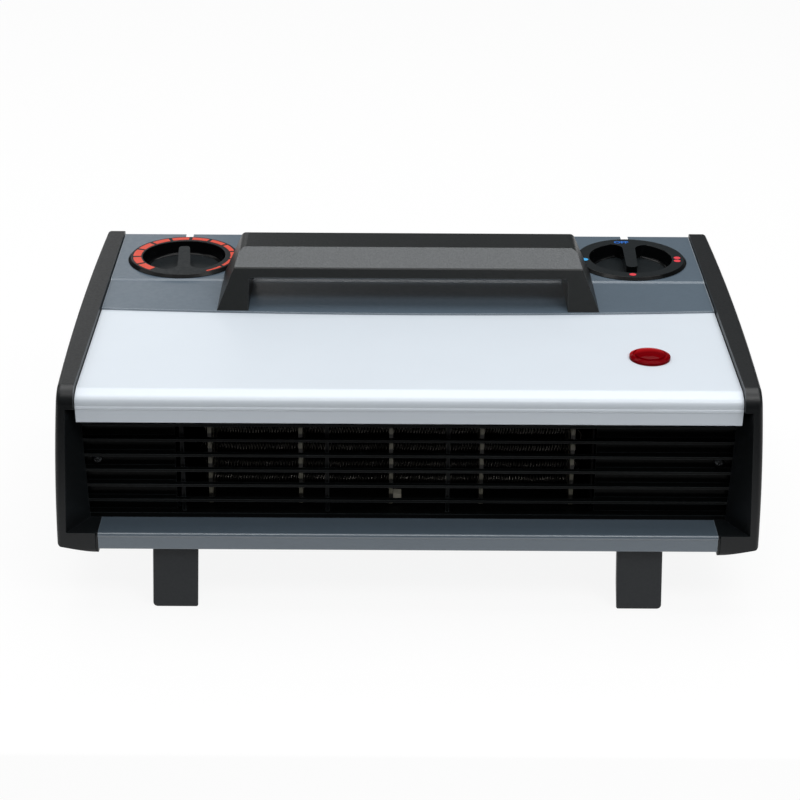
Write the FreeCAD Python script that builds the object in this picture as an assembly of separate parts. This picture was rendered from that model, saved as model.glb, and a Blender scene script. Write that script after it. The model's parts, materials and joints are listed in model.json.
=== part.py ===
import FreeCAD, Part
import math
import os

# Fan-forced convector heater: a sheet-metal case between two moulded end caps, with a tangential blower
# that drives air over coiled elements and out of a front grille. Millimetres, front face towards -Y.
# The origin is on the floor under the middle of the case.

V = FreeCAD.Vector

# Case
CASE_WIDTH = 359.6
CASE_DEPTH = 248.0
CASE_HEIGHT = 97.2
FOOT_HEIGHT = 38.8
SHEET = 1.0
SEAT_GAP = 0.1
CREASE_STEP = 0.8
CREASE_RUN = 2.0
CREASE_RADIUS = 1.5
COVER_DEPTH = 128.6
COVER_BOW = 6.0
CREASE_FROM_COVER_EDGE = 48.8
COVER_LAP = 9.0
COVER_FLANGE = 12.0
COVER_REAR_RADIUS = 2.0

# End caps
CAP_GAP = 0.4
CAP_WIDTH = 8.7
CAP_CROWN = 3.2
CAP_CROWN_Y = 30.0
CAP_DRAFT = 0.05
CAP_BULGE = 1.0
CAP_PROUD = 1.8
CAP_TOP_RADIUS = 9.0
CAP_REAR_RADIUS = 2.5
CAP_FOOT_RADIUS = 3.0
CAP_EDGE_RADIUS = 2.4
CAP_RIM = 3.0
CAP_FOOT_DROP = 2.2
CAP_FOOT_SLOPE = 0.2
CAP_FOOT_RIM = 5.0
CAP_WALL = 2.5
SPIGOT_WALL = 2.0
SPIGOT_REACH = 8.0
REVEAL_STRIP = 5.0
REVEAL_HEIGHT = 75.0
REVEAL_LEAN = 2.9
LIP_GROOVE_RADIUS = 1.4
LIP_HEIGHT = 10.6
LIP_REACH = 9.0
LIP_DEPTH = 20.0

# Silver front panel
NOSE_SETBACK = 2.5
NOSE_RADIUS = 4.5
BEVEL_SETBACK = 11.8
BEVEL_DROP = 2.6
BEVEL_RADIUS = 8.0
FRONT_LIP_HEIGHT = 17.6
FRONT_LIP_RAKE = 1.7
FRONT_LIP_RETURN = 9.0
BEAD_RADIUS = 1.6
BEAD_PROUD = 0.5
BEAD_DROP = 8.3

# Lower trim
TRIM_SETBACK = 1.0
TRIM_BEAD_RADIUS = 1.5
TRIM_BEND = 1.2
TRIM_FLANGE = 36.0

# Outlet grille
GRILLE_SETBACK = 19.5
GRILLE_HEIGHT = 74.2
LOUVRE_PITCH = 9.25
LOUVRE_COUNT = 6
LOUVRE_FIRST = 10.6
LOUVRE_THICKNESS = 1.5
LOUVRE_DEPTH = 5.5
LOUVRE_BAR_DEPTH = 3.0
GRILLE_PLATE = 2.0
GRILLE_SILL = 2.8
OUTLET_FROM_LEFT = 50.8
OUTLET_FROM_RIGHT = 75.8
OUTLET_HEIGHT = 59.2
RIBS_FROM_OUTLET_LEFT = (4.0, 84.0, 151.0)
GRILLE_RIB = 2.0
GRILLE_SCREW_FROM_SIDE = 7.3

# Handle
HANDLE_FROM_KNOB = 26.5
HANDLE_FLARE = 13.0
HANDLE_RISE = 30.0
HANDLE_FRONT_RISE = 23.0
HANDLE_FRONT_RAKE = 10.1
HANDLE_FACET = 16.6
HANDLE_FLAT = 26.6
HANDLE_REAR_RAKE = 6.5
HANDLE_EDGE_RADIUS = 2.0
HANDLE_END_RADIUS = 5.0
HANDLE_LEG = 18.5
HAND_GAP_HEIGHT = 17.6
HAND_GAP_RADIUS = 2.0
HANDLE_WALL = 3.2
HANDLE_SCREWS_FROM_EDGE = (20.0, 42.0)

# Knobs and controls
KNOB_FROM_SIDE = 41.3
KNOB_FROM_REAR = 45.3
KNOB_FLANGE_RADIUS = 34.5
KNOB_RING_RADIUS = 32.8
KNOB_EDGE_RADIUS = 0.6
KNOB_DISH_RADIUS = 25.5
KNOB_FLOOR_RADIUS = 24.0
KNOB_RISE = 2.0
KNOB_DISH_DEPTH = 8.3
KNOB_FLOOR = 2.2
KNOB_LIFT = 0.4
KNOB_HOLE_GAP = 2.0
KNOB_BAR_WIDTH = 8.0
KNOB_BAR_END_WIDTH = 6.8
KNOB_BAR_END_GAP = 8.0
THERMOSTAT_BAR_TURN = 4.5
SELECTOR_BAR_TURN = -2.0
KNOB_GUSSET_WIDTH = 24.0
KNOB_GUSSET_DEPTH = 3.0
KNOB_GUSSET_RADIUS = 7.0
KNOB_HUB_RADIUS = 6.0
KNOB_HUB_LENGTH = 6.0
SPINDLE_RADIUS = 3.0
SPINDLE_LENGTH = 29.0
RUNNING_GAP = 0.05
BUSH_RADIUS = 5.0
BUSH_LENGTH = 8.0
BRACKET_DROP = 22.0
BRACKET_SPAN = 66.0
BRACKET_WIDTH = 30.0
BRACKET_FLANGE = 7.0
NUT_RADIUS = 8.0
NUT_HEIGHT = 3.0
THERMOSTAT_SIZE = 27.0
THERMOSTAT_HEIGHT = 16.0
THERMOSTAT_CORNER = 3.0
THERMOSTAT_TAB_SPREAD = 5.0
SWITCH_RADIUS = 20.0
SWITCH_HEIGHT = 17.0
SWITCH_TAB_SPREAD = (10.0, 8.0)
TAB_LENGTH = 6.0
TAB_WIDTH = 6.0
TAB_THICKNESS = 0.8

# Indicator
LENS_FROM_SIDE = 45.2
LENS_FROM_FRONT = 55.7
LENS_RADIUS = 11.45
LENS_WALL = 1.4
LENS_CROWN = 2.8
LENS_GROOVE_AT = 9.0
LENS_GROOVE_RADIUS = 0.8
LENS_STEM_RADIUS = 8.0
LENS_STEM_LENGTH = 14.0
LENS_BORE_RADIUS = 6.4
LAMP_RADIUS = 3.0
LAMP_LENGTH = 8.0
LAMP_TIP_RADIUS = 2.7
LAMP_BASE_HEIGHT = 4.0

# Blower and duct
WHEEL_RADIUS = 30.0
WHEEL_INNER_RADIUS = 23.0
WHEEL_LEFT_INSET = 8.0
WHEEL_RIGHT_INSET = 9.0
WHEEL_DISC = 1.5
WHEEL_FROM_REAR = 96.0
WHEEL_ABOVE_PAN = 43.0
BLADE_COUNT = 24
BLADE_SWEEP = 17.0
BLADE_ANGLE_WIDTH = 2.0
WHEEL_RINGS = 2
WHEEL_HUB_RADIUS = 7.0
WHEEL_HUB_LENGTH = 9.0
HUB_STANDOFF = 5.0
STUB_RADIUS = 2.5
STUB_LENGTH = 11.0
BUSH_OUTER_RADIUS = 7.0
BUSH_FLANGE = 2.0
WHEEL_END_GAP = 5.0
DUCT_END_GAP = 7.0
DUCT_WALL_TOP = 80.0
DUCT_FOOT = 10.0
DUCT_SHEET = 0.8
SCROLL_GAP = 4.6
SCROLL_GROWTH = 7.4
SCROLL_END_ANGLE = 50.0
DUCT_ROOF = 70.0
TONGUE_GAP = 3.2
TONGUE_ANGLE = 158.0

# Motor
SHAFT_RADIUS = 3.0
STATOR_STANDOFF = 9.0
STATOR_STACK = 22.0
STATOR_FRONT = 52.0
STATOR_REAR = 24.0
STATOR_HALF_HEIGHT = 24.0
STATOR_YOKE = 8.0
STATOR_LEG = 12.0
STATOR_WINDOW = 19.0
ROTOR_RADIUS = 13.2
AIR_GAP = 0.4
COIL_BUILD = 8.0
MOTOR_PLATE = 2.0
MOTOR_PLATE_GAP = 4.0
MOTOR_BOSS_RADIUS = 8.0
MOTOR_BOSS_LENGTH = 6.0
MOTOR_POST_RADIUS = 3.5
MOTOR_POSTS = ((-12.0, -19.0), (12.0, 19.0))
MOTOR_PLATE_HALF_WIDTH = 17.0
MOTOR_PLATE_CORNER = 4.0
SHAFT_HOLE_RADIUS = 12.0

# Heating element
CARD_COUNT = 5
CARD_LEFT_INSET = 10.0
CARD_RIGHT_INSET = 3.0
CARD_FROM_GRILLE = 9.0
CARD_DEPTH = 40.0
CARD_THICKNESS = 2.2
RAIL_THICKNESS = 1.2
COIL_FROM_CARD = 14.0
COIL_ABOVE_PAN = (19.2, 28.2, 38.7, 49.2)
COIL_RADIUS = 2.9
COIL_WIRE_RADIUS = 0.55
COIL_TURNS = 14
POINTS_PER_TURN = 40
COIL_HOLE_GAP = 0.4
COIL_MARGIN = 3.0
CUTOUT_FROM_CARD = 3.5
CUTOUT_SIZE = (4.5, 6.0, 5.5)

# Back and base
BACK_INSET = 2.0
BACK_TOP_GAP = 5.4
BACK_SLOT_WIDTH = 5.0
BACK_SLOT_LENGTH = 22.0
BACK_SLOT_PITCH = 15.0
BACK_SLOT_COLUMNS = 14
BACK_SLOT_ROWS = (30.0, 60.0)
BACK_SLOT_FROM_WHEEL = 11.0
PAN_FLANGE = 13.0
PAN_SLOT_LENGTH = 34.0
PAN_SLOT_COLUMNS = 10
PAN_SLOT_PITCH = 20.0
PAN_SLOT_FROM_WHEEL = 17.0
GLAND_FROM_SIDE = 41.8
GLAND_ABOVE_PAN = 22.0
GLAND_BORE_RADIUS = 4.0
GLAND_RADIUS = 7.0
GLAND_FLANGE_RADIUS = 9.5
GLAND_LENGTH = 10.0
TERMINAL_FROM_SIDE = 61.8
TERMINAL_FROM_REAR = 42.0
TERMINAL_SIZE = (40.0, 18.0, 14.0)
TERMINAL_WAYS = 3
TERMINAL_BORE_RADIUS = 2.5
TERMINAL_WELL_RADIUS = 3.0

# Feet
FOOT_FROM_SIDE = 50.8
FOOT_SPLAY = 1.4
FOOT_WIDTH = 25.5
FOOT_REAR_WIDTH = 20.0
FOOT_DEPTH = 32.0
FOOT_SETBACK = 6.0
FOOT_OUTER_RADIUS = 2.8
FOOT_INNER_RADIUS = 1.0
FOOT_BORE_RADIUS = 5.0
FOOT_SEAT = 8.0

# Screws
SCREW_RADIUS = 1.5
SCREW_HEAD_RADIUS = 3.0
SCREW_HEAD_HEIGHT = 2.0
SCREW_LENGTH = 10.0
SCREW_GAP = 0.1
CAP_SCREW_FROM_EDGE = 6.0
CAP_SCREW_FROM_END = 63.0
CAP_BOSS = 6.0
CAP_BOSS_HEIGHT = 10.0

# Derived planes of the case
half = CASE_WIDTH / 2
front_y = -CASE_DEPTH / 2
rear_y = CASE_DEPTH / 2
base_z = FOOT_HEIGHT
cap_top = base_z + CASE_HEIGHT
cap_inner = half + CAP_GAP
cap_edge = cap_inner + CAP_WIDTH
cover_top = cap_top - CAP_PROUD
cover_low = cover_top - CREASE_STEP
cover_front = rear_y - COVER_DEPTH
crease_y = cover_front + CREASE_FROM_COVER_EDGE
panel_top = cover_low - SHEET - SEAT_GAP
panel_under = panel_top - SHEET
pan_under = base_z + SHEET
pan_top = pan_under + SHEET
trim_front = front_y + TRIM_SETBACK
trim_top = base_z + LIP_HEIGHT
lip_inner = cap_inner - LIP_REACH
back_outer = rear_y - BACK_INSET
back_inner = back_outer - SHEET

# Derived planes of the grille, duct and element
grille_front = front_y + GRILLE_SETBACK
plate_front = grille_front + LOUVRE_DEPTH
plate_back = plate_front + GRILLE_PLATE
grille_low = trim_top + SEAT_GAP
louvre_zs = [grille_low + LOUVRE_FIRST + i * LOUVRE_PITCH for i in range(LOUVRE_COUNT)]
grille_screw_z = (louvre_zs[2] + louvre_zs[3]) / 2
outlet_left = -half + OUTLET_FROM_LEFT
outlet_right = half - OUTLET_FROM_RIGHT
wheel_left = outlet_left + WHEEL_LEFT_INSET
wheel_right = outlet_right - WHEEL_RIGHT_INSET
wheel_y = rear_y - WHEEL_FROM_REAR
wheel_z = pan_top + WHEEL_ABOVE_PAN
wheel_axis = V(0, wheel_y, wheel_z)
duct_left = wheel_left - WHEEL_END_GAP
duct_right = wheel_right + DUCT_END_GAP
duct_front = plate_back + SHEET
duct_floor = wheel_z - WHEEL_RADIUS - SCROLL_GAP
duct_roof = pan_top + DUCT_ROOF
card_front = plate_back + CARD_FROM_GRILLE
card_back = card_front + CARD_DEPTH
card_low = duct_floor + RAIL_THICKNESS
card_high = duct_roof - RAIL_THICKNESS
first_card = wheel_left + CARD_LEFT_INSET
last_card = wheel_right - CARD_RIGHT_INSET
card_xs = [first_card + (last_card - first_card) * i / (CARD_COUNT - 1) for i in range(CARD_COUNT)]
coil_y = card_front + COIL_FROM_CARD
coil_zs = [pan_top + height for height in COIL_ABOVE_PAN]

# Derived places of the controls, motor and feet
knob_x = half - KNOB_FROM_SIDE
knob_y = rear_y - KNOB_FROM_REAR
knob_top = cover_top + KNOB_RISE
dish_floor = knob_top - KNOB_DISH_DEPTH
hub_top = dish_floor - KNOB_FLOOR
hub_low = hub_top - KNOB_HUB_LENGTH
bracket_top = cover_top - SHEET
bracket_plate = bracket_top - BRACKET_DROP
spindle_top = hub_top
knob_hole_radius = KNOB_FLOOR_RADIUS + KNOB_FLOOR + KNOB_HOLE_GAP
handle_half = knob_x - HANDLE_FROM_KNOB
hand_gap_half = handle_half - HANDLE_LEG
lens_x = half - LENS_FROM_SIDE
lens_y = front_y + LENS_FROM_FRONT
stator_left = duct_right + SHEET + STATOR_STANDOFF
stator_right = stator_left + STATOR_STACK
grille_screw_x = half - GRILLE_SCREW_FROM_SIDE
foot_x = half - FOOT_FROM_SIDE
foot_front = front_y + FOOT_SETBACK
foot_rear = rear_y - FOOT_SETBACK
gland_x = half - GLAND_FROM_SIDE
gland_z = pan_top + GLAND_ABOVE_PAN


# Shared shapes
def block(x0, x1, y0, y1, z0, z1):
    """Box between two corners."""
    return Part.makeBox(x1 - x0, y1 - y0, z1 - z0, V(x0, y0, z0))


def rod(radius, start, end):
    """Round bar between two points."""
    return Part.makeCylinder(radius, (end - start).Length, start, end - start)


def in_yz(x, outline):
    """Corners (y, z, radius) placed in a plane across the width."""
    return [(V(x, y, z), radius) for y, z, radius in outline]


def in_xy(z, outline):
    """Corners (x, y, radius) placed in a level plane."""
    return [(V(x, y, z), radius) for x, y, radius in outline]


def in_xz(y, outline):
    """Corners (x, z, radius) placed in a plane across the depth."""
    return [(V(x, y, z), radius) for x, z, radius in outline]


def rounded_wire(corners, closed):
    """Wire through (point, radius) corners, each turned by a tangent arc."""
    count = len(corners)
    turns = []
    for i, (point, radius) in enumerate(corners):
        if radius == 0 or (not closed and i in (0, count - 1)):
            turns.append((point, None, point))
            continue
        before = (corners[i - 1][0] - point).normalize()
        after = (corners[(i + 1) % count][0] - point).normalize()
        half_angle = before.getAngle(after) / 2
        inward = (before + after).normalize()
        reach = radius / math.tan(half_angle)
        crown = point + inward * (radius / math.sin(half_angle) - radius)
        turns.append((point + before * reach, crown, point + after * reach))
    edges = []
    for i, (start, crown, end) in enumerate(turns):
        if crown is not None:
            edges.append(Part.Arc(start, crown, end).toShape())
        if closed or i < count - 1:
            edges.append(Part.makeLine(end, turns[(i + 1) % count][0]))
    return Part.Wire(edges)


def extruded(corners, direction):
    """Solid drawn from a closed outline of (point, radius) corners."""
    return Part.Face(rounded_wire(corners, True)).extrude(direction)


def folded_sheet(wire, thickness, width):
    """Sheet of one thickness on the left of a line in the YZ plane, seen from -X, drawn along X."""
    return wire.makeOffset2D(thickness, 0, True, True).extrude(V(width, 0, 0))


def slot(length, width, depth, centre, along, through):
    """Round-ended slot cutter about a centre, its length and its depth along given directions."""
    half_run = along * ((length - width) / 2)
    half_depth = through * (depth / 2)
    side = along.cross(through) * (width / 2)
    start = centre - half_run - half_depth
    end = centre + half_run - half_depth
    round_end = along * (width / 2)
    edges = [Part.makeLine(start + side, end + side),
             Part.Arc(end + side, end + round_end, end - side).toShape(),
             Part.makeLine(end - side, start - side),
             Part.Arc(start - side, start - round_end, start + side).toShape()]
    return Part.Face(Part.Wire(edges)).extrude(through * depth)


def screw(seat, direction):
    """Pan-head screw whose head sits outside a seat and whose shank runs along a direction."""
    head = rod(SCREW_HEAD_RADIUS, seat - direction * SCREW_HEAD_HEIGHT, seat)
    rims = [edge for edge in head.Edges if edge.isClosed()]
    rim = max(rims, key=lambda edge: (seat - edge.CenterOfMass).Length)
    head = head.makeFillet(SCREW_HEAD_HEIGHT / 2, [rim])
    return head.fuse(rod(SCREW_RADIUS, seat, seat + direction * SCREW_LENGTH)).removeSplitter()


def screw_hole(seat, direction, length):
    """Clearance hole for a screw, starting at a point."""
    return rod(SCREW_RADIUS + SCREW_GAP, seat, seat + direction * length)


UP = V(0, 0, 1)
BACKWARD = V(0, 1, 0)
RIGHT = V(1, 0, 0)


# Places of the screws
def grille_screw_seats():
    return [V(side * grille_screw_x, plate_front, grille_screw_z) for side in (-1, 1)]


def handle_screw_seats():
    x = handle_half - (HANDLE_FLARE + HANDLE_LEG) / 2 + SCREW_RADIUS
    return [V(side * x, cover_front + offset, cover_low - SHEET)
            for side in (-1, 1) for offset in HANDLE_SCREWS_FROM_EDGE]


def cap_screw_seats():
    x = half - CAP_SCREW_FROM_EDGE
    ys = (front_y + CAP_SCREW_FROM_END, rear_y - CAP_SCREW_FROM_END)
    return [V(side * x, y, pan_under) for side in (-1, 1) for y in ys]


def foot_centres():
    """Middle of each foot's top, with the height of the sheet that it carries."""
    front = foot_front + FOOT_DEPTH / 2
    rear = foot_rear - FOOT_DEPTH / 2
    places = {}
    for end, y, top in (("front", front, base_z), ("rear", rear, pan_under)):
        for name, side in (("left", -1), ("right", 1)):
            places["foot_%s_%s" % (end, name)] = V(side * foot_x, y, top)
    return places


# Case
def base_pan():
    """Bottom sheet with a rear flange, a front tongue inside the trim and inlet slots under the wheel."""
    pan_rear = back_inner - SHEET
    tongue_half = lip_inner - SHEET
    pan = block(-half, half, front_y + LIP_DEPTH + FOOT_INNER_RADIUS, pan_rear, pan_under, pan_top)
    tongue = block(-tongue_half, tongue_half, front_y + LIP_HEIGHT, pan_rear, pan_under, pan_top)
    flange = block(-half, half, pan_rear, back_inner, pan_under, pan_top + PAN_FLANGE)
    pan = pan.fuse([tongue, flange]).removeSplitter()
    middle = V(wheel_left + PAN_SLOT_FROM_WHEEL, wheel_y + WHEEL_RADIUS, pan_under + SHEET / 2)
    cutters = [slot(PAN_SLOT_LENGTH, BACK_SLOT_WIDTH, 4 * SHEET, middle + RIGHT * (i * PAN_SLOT_PITCH),
                    BACKWARD, UP) for i in range(PAN_SLOT_COLUMNS)]
    cutters += [screw_hole(seat - UP * SHEET, UP, 3 * SHEET) for seat in cap_screw_seats()]
    cutters += [screw_hole(top - UP * SHEET, UP, 5 * SHEET) for top in foot_centres().values()]
    return pan.cut(cutters)


def front_trim():
    """Folded trim under the grille: bottom flange, front face, rolled edge and shelf."""
    line = [(trim_front + TRIM_FLANGE, base_z, 0), (trim_front, base_z, TRIM_BEND),
            (trim_front, trim_top, TRIM_BEND), (plate_front, trim_top, TRIM_BEND),
            (plate_front, trim_top - LIP_HEIGHT / 2, 0)]
    width = 2 * (lip_inner - SEAT_GAP)
    trim = folded_sheet(rounded_wire(in_yz(-width / 2, line), False), SHEET, width)
    bead_y = trim_front + TRIM_BEAD_RADIUS / 2
    bead_z = trim_top - TRIM_BEAD_RADIUS
    trim = trim.fuse(rod(TRIM_BEAD_RADIUS, V(-width / 2, bead_y, bead_z), V(width / 2, bead_y, bead_z)))
    holes = [screw_hole(top - UP * SHEET, UP, 5 * SHEET) for top in foot_centres().values()]
    return trim.removeSplitter().cut(holes)


def top_cover():
    """Blue-grey top sheet with a raised rear half, a rear flange, knob holes and handle screw holes."""
    line = [(cover_front - COVER_BOW, cover_low, 0), (crease_y - CREASE_RUN, cover_low, CREASE_RADIUS),
            (crease_y, cover_top, CREASE_RADIUS), (back_outer + SHEET, cover_top, COVER_REAR_RADIUS),
            (back_outer + SHEET, cover_top - COVER_FLANGE, 0)]
    cover = folded_sheet(rounded_wire(in_yz(-half, line), False), SHEET, CASE_WIDTH)
    holes = [rod(knob_hole_radius, V(side * knob_x, knob_y, cover_low - BRACKET_DROP),
                 V(side * knob_x, knob_y, knob_top)) for side in (-1, 1)]
    holes += [screw_hole(seat - UP * SHEET, UP, 4 * SHEET) for seat in handle_screw_seats()]
    radius = (half ** 2 + COVER_BOW ** 2) / (2 * COVER_BOW)
    middle = V(0, cover_front - COVER_BOW / 2 + radius, cover_low - BRACKET_DROP)
    return cover.common(rod(radius, middle, middle + UP * (knob_top - middle.z + SHEET))).cut(holes)


def front_panel():
    """Silver sheet: flat top, bevelled nose and a raked lip with one pressed bead and a return."""
    nose_y = front_y + NOSE_SETBACK
    lip_z = panel_top - FRONT_LIP_HEIGHT
    lip_y = nose_y + FRONT_LIP_RAKE
    line = [(cover_front + COVER_LAP, panel_top, 0), (front_y + BEVEL_SETBACK, panel_top, BEVEL_RADIUS),
            (nose_y, panel_top - BEVEL_DROP, NOSE_RADIUS), (lip_y, lip_z, TRIM_BEND),
            (lip_y + FRONT_LIP_RETURN, lip_z, 0)]
    panel = folded_sheet(rounded_wire(in_yz(-half, line), False), -SHEET, CASE_WIDTH)
    bead_z = panel_top - BEAD_DROP
    slope = FRONT_LIP_RAKE / (FRONT_LIP_HEIGHT - BEVEL_DROP)
    bead_y = nose_y + slope * (BEAD_DROP - BEVEL_DROP) + BEAD_RADIUS - BEAD_PROUD
    panel = panel.fuse(rod(BEAD_RADIUS, V(-half, bead_y, bead_z), V(half, bead_y, bead_z))).removeSplitter()
    return panel.cut(rod(LENS_STEM_RADIUS + SEAT_GAP, V(lens_x, lens_y, panel_under - SHEET),
                         V(lens_x, lens_y, panel_top + SHEET)))


def back_panel():
    """Upright back sheet with rows of inlet slots and the gland hole."""
    panel = block(-half, half, back_inner, back_outer, pan_top + SEAT_GAP, cover_top - BACK_TOP_GAP)
    first = V(wheel_left + BACK_SLOT_FROM_WHEEL, (back_inner + back_outer) / 2, pan_top)
    cutters = [slot(BACK_SLOT_LENGTH, BACK_SLOT_WIDTH, 4 * SHEET,
                    first + V(i * BACK_SLOT_PITCH, 0, height), UP, BACKWARD)
               for i in range(BACK_SLOT_COLUMNS) for height in BACK_SLOT_ROWS]
    cutters.append(rod(GLAND_RADIUS + SEAT_GAP, V(gland_x, back_inner - SHEET, gland_z),
                       V(gland_x, back_outer + SHEET, gland_z)))
    return panel.cut(cutters)


def cap_crown(inset):
    """Large torus whose near side is the crowned outer face of the cap, moved in by an inset."""
    run = CAP_CROWN_Y - front_y
    sweep = (run ** 2 + CAP_CROWN ** 2) / (2 * CAP_CROWN)
    arch = cap_arch()
    widest_z = cap_top - CASE_HEIGHT / 2 - CAP_DRAFT * arch
    widest_x = cap_edge + CAP_CROWN + (cap_top - widest_z) ** 2 / (2 * arch)
    centre = V(widest_x - sweep, CAP_CROWN_Y, widest_z)
    return Part.makeTorus(sweep - arch, arch - inset, centre, UP)


def cap_arch():
    """Radius of the cap's outer face seen from the front, from its bulge at half height."""
    return CASE_HEIGHT ** 2 / (8 * CAP_BULGE)


def cap_face(z):
    """Sideways place of the cap's outer face at the front edge, at one height."""
    below = cap_top - z
    return cap_edge + CAP_DRAFT * below + below * (CASE_HEIGHT - below) / (2 * cap_arch())


def end_cap():
    """Right-hand cap: crowned tray with a raised rim, a spigot, a tapered reveal and a lower lip."""
    low = base_z - CAP_FOOT_DROP
    reach = 2 * (CAP_WIDTH + CAP_CROWN)
    rim = [(front_y, low, CAP_FOOT_RADIUS), (front_y, cap_top, CAP_TOP_RADIUS),
           (rear_y, cap_top, CAP_REAR_RADIUS), (rear_y, low, CAP_FOOT_RADIUS)]
    body = extruded(in_yz(cap_inner, rim), V(reach, 0, 0))
    lip = [(front_y, low, CAP_FOOT_RADIUS), (front_y, trim_top, 0),
           (front_y + LIP_DEPTH, trim_top, 0), (front_y + LIP_DEPTH, low, 0)]
    cheek = block(cap_inner - REVEAL_LEAN, cap_inner + SHEET, front_y, grille_front, trim_top,
                  trim_top + REVEAL_HEIGHT)
    body = body.fuse([extruded(in_yz(lip_inner, lip), V(LIP_REACH + SHEET, 0, 0)), cheek]).removeSplitter()
    far = cap_inner + reach
    under = [(lip_inner, low - SHEET, 0), (far, low - SHEET, 0),
             (far, low + CAP_FOOT_SLOPE * (far - lip_inner), 0), (lip_inner, low, 0)]
    body = body.common(cap_crown(0)).cut(extruded(in_xz(front_y, under), V(0, CASE_DEPTH, 0)))
    face = max(body.Faces, key=lambda f: f.CenterOfMass.x)
    body = body.makeFillet(CAP_EDGE_RADIUS, face.Edges)

    pocket = [(plate_front, base_z + CAP_FOOT_RIM, 0), (plate_front, cap_top - CAP_RIM, 0),
              (rear_y - CAP_RIM, cap_top - CAP_RIM, 0),
              (rear_y - CAP_RIM, base_z + CAP_FOOT_RIM, 0)]
    hollow = extruded(in_yz(cap_inner - SHEET, pocket), V(reach, 0, 0))
    body = body.cut(hollow.common(cap_crown(CAP_WALL)))

    spigot_front = duct_front + SHEET
    spigot_back = back_inner - SHEET - CAP_GAP
    spigot_low = pan_top + 2 * SEAT_GAP
    spigot_high = panel_under - 2 * SEAT_GAP
    inner = cap_inner - SPIGOT_REACH
    spigot = block(inner, far, spigot_front, spigot_back, spigot_low, spigot_high)
    spigot = spigot.cut(block(inner, far, spigot_front, spigot_back - SPIGOT_WALL, spigot_low + SPIGOT_WALL,
                              spigot_high - SPIGOT_WALL))
    lug_half = LOUVRE_PITCH / 2
    pieces = [block(grille_screw_x - lug_half, far, plate_back, plate_back + SCREW_LENGTH,
                    grille_screw_z - lug_half, grille_screw_z + lug_half)]
    for seat in cap_screw_seats()[2:]:
        pieces.append(block(seat.x - CAP_BOSS, far, seat.y - CAP_BOSS, seat.y + CAP_BOSS,
                            pan_top, pan_top + CAP_BOSS_HEIGHT))
    inside = spigot.fuse(pieces).common(cap_crown(CAP_WALL / 2))
    body = body.fuse(inside).removeSplitter()

    rings = []
    for z in (trim_top, trim_top + REVEAL_HEIGHT):
        edge = cap_face(z) - REVEAL_STRIP
        back = cap_inner - REVEAL_LEAN * (trim_top + REVEAL_HEIGHT - z) / REVEAL_HEIGHT
        points = [V(lip_inner, front_y - SHEET, z), V(edge, front_y - SHEET, z), V(edge, front_y, z),
                  V(back, grille_front, z), V(lip_inner, grille_front, z), V(lip_inner, front_y - SHEET, z)]
        rings.append(Part.makePolygon(points))
    cutters = [Part.makeLoft(rings, True, True),
               rod(LIP_GROOVE_RADIUS, V(lip_inner, front_y, low - SHEET), V(lip_inner, front_y, trim_top))]
    cutters.append(screw_hole(grille_screw_seats()[1], BACKWARD, 2 * SCREW_LENGTH))
    cutters += [screw_hole(seat, UP, SCREW_LENGTH + SHEET) for seat in cap_screw_seats()[2:]]
    return body.cut(cutters)


def mirrored(shape):
    """Left-hand copy of a right-hand piece."""
    return shape.mirror(V(0, 0, 0), RIGHT)


def outlet_grille():
    """Moulded grille: plate with one outlet window, louvres across it, ribs behind them and a sill."""
    high = grille_low + GRILLE_HEIGHT
    plate = block(-half, half, plate_front, plate_back, grille_low, high)
    window_low = grille_low + GRILLE_SILL
    plate = plate.cut(block(outlet_left, outlet_right, plate_front, plate_back,
                            window_low, window_low + OUTLET_HEIGHT))
    pieces = [block(-half, half, grille_front, plate_back, grille_low, window_low)]
    for z in louvre_zs:
        low, top = z - LOUVRE_THICKNESS / 2, z + LOUVRE_THICKNESS / 2
        pieces.append(block(-half, half, grille_front, grille_front + LOUVRE_BAR_DEPTH, low, top))
        for x0, x1 in ((-half, outlet_left), (outlet_right, half)):
            pieces.append(block(x0, x1, grille_front, plate_front, low, top))
    for offset in RIBS_FROM_OUTLET_LEFT:
        x = outlet_left + offset
        pieces.append(block(x - GRILLE_RIB / 2, x + GRILLE_RIB / 2, grille_front + LOUVRE_BAR_DEPTH,
                            plate_back, grille_low, high))
    grille = plate.fuse(pieces).removeSplitter()
    return grille.cut([screw_hole(seat - BACKWARD * SHEET, BACKWARD, 2 * GRILLE_PLATE)
                       for seat in grille_screw_seats()])


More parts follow.
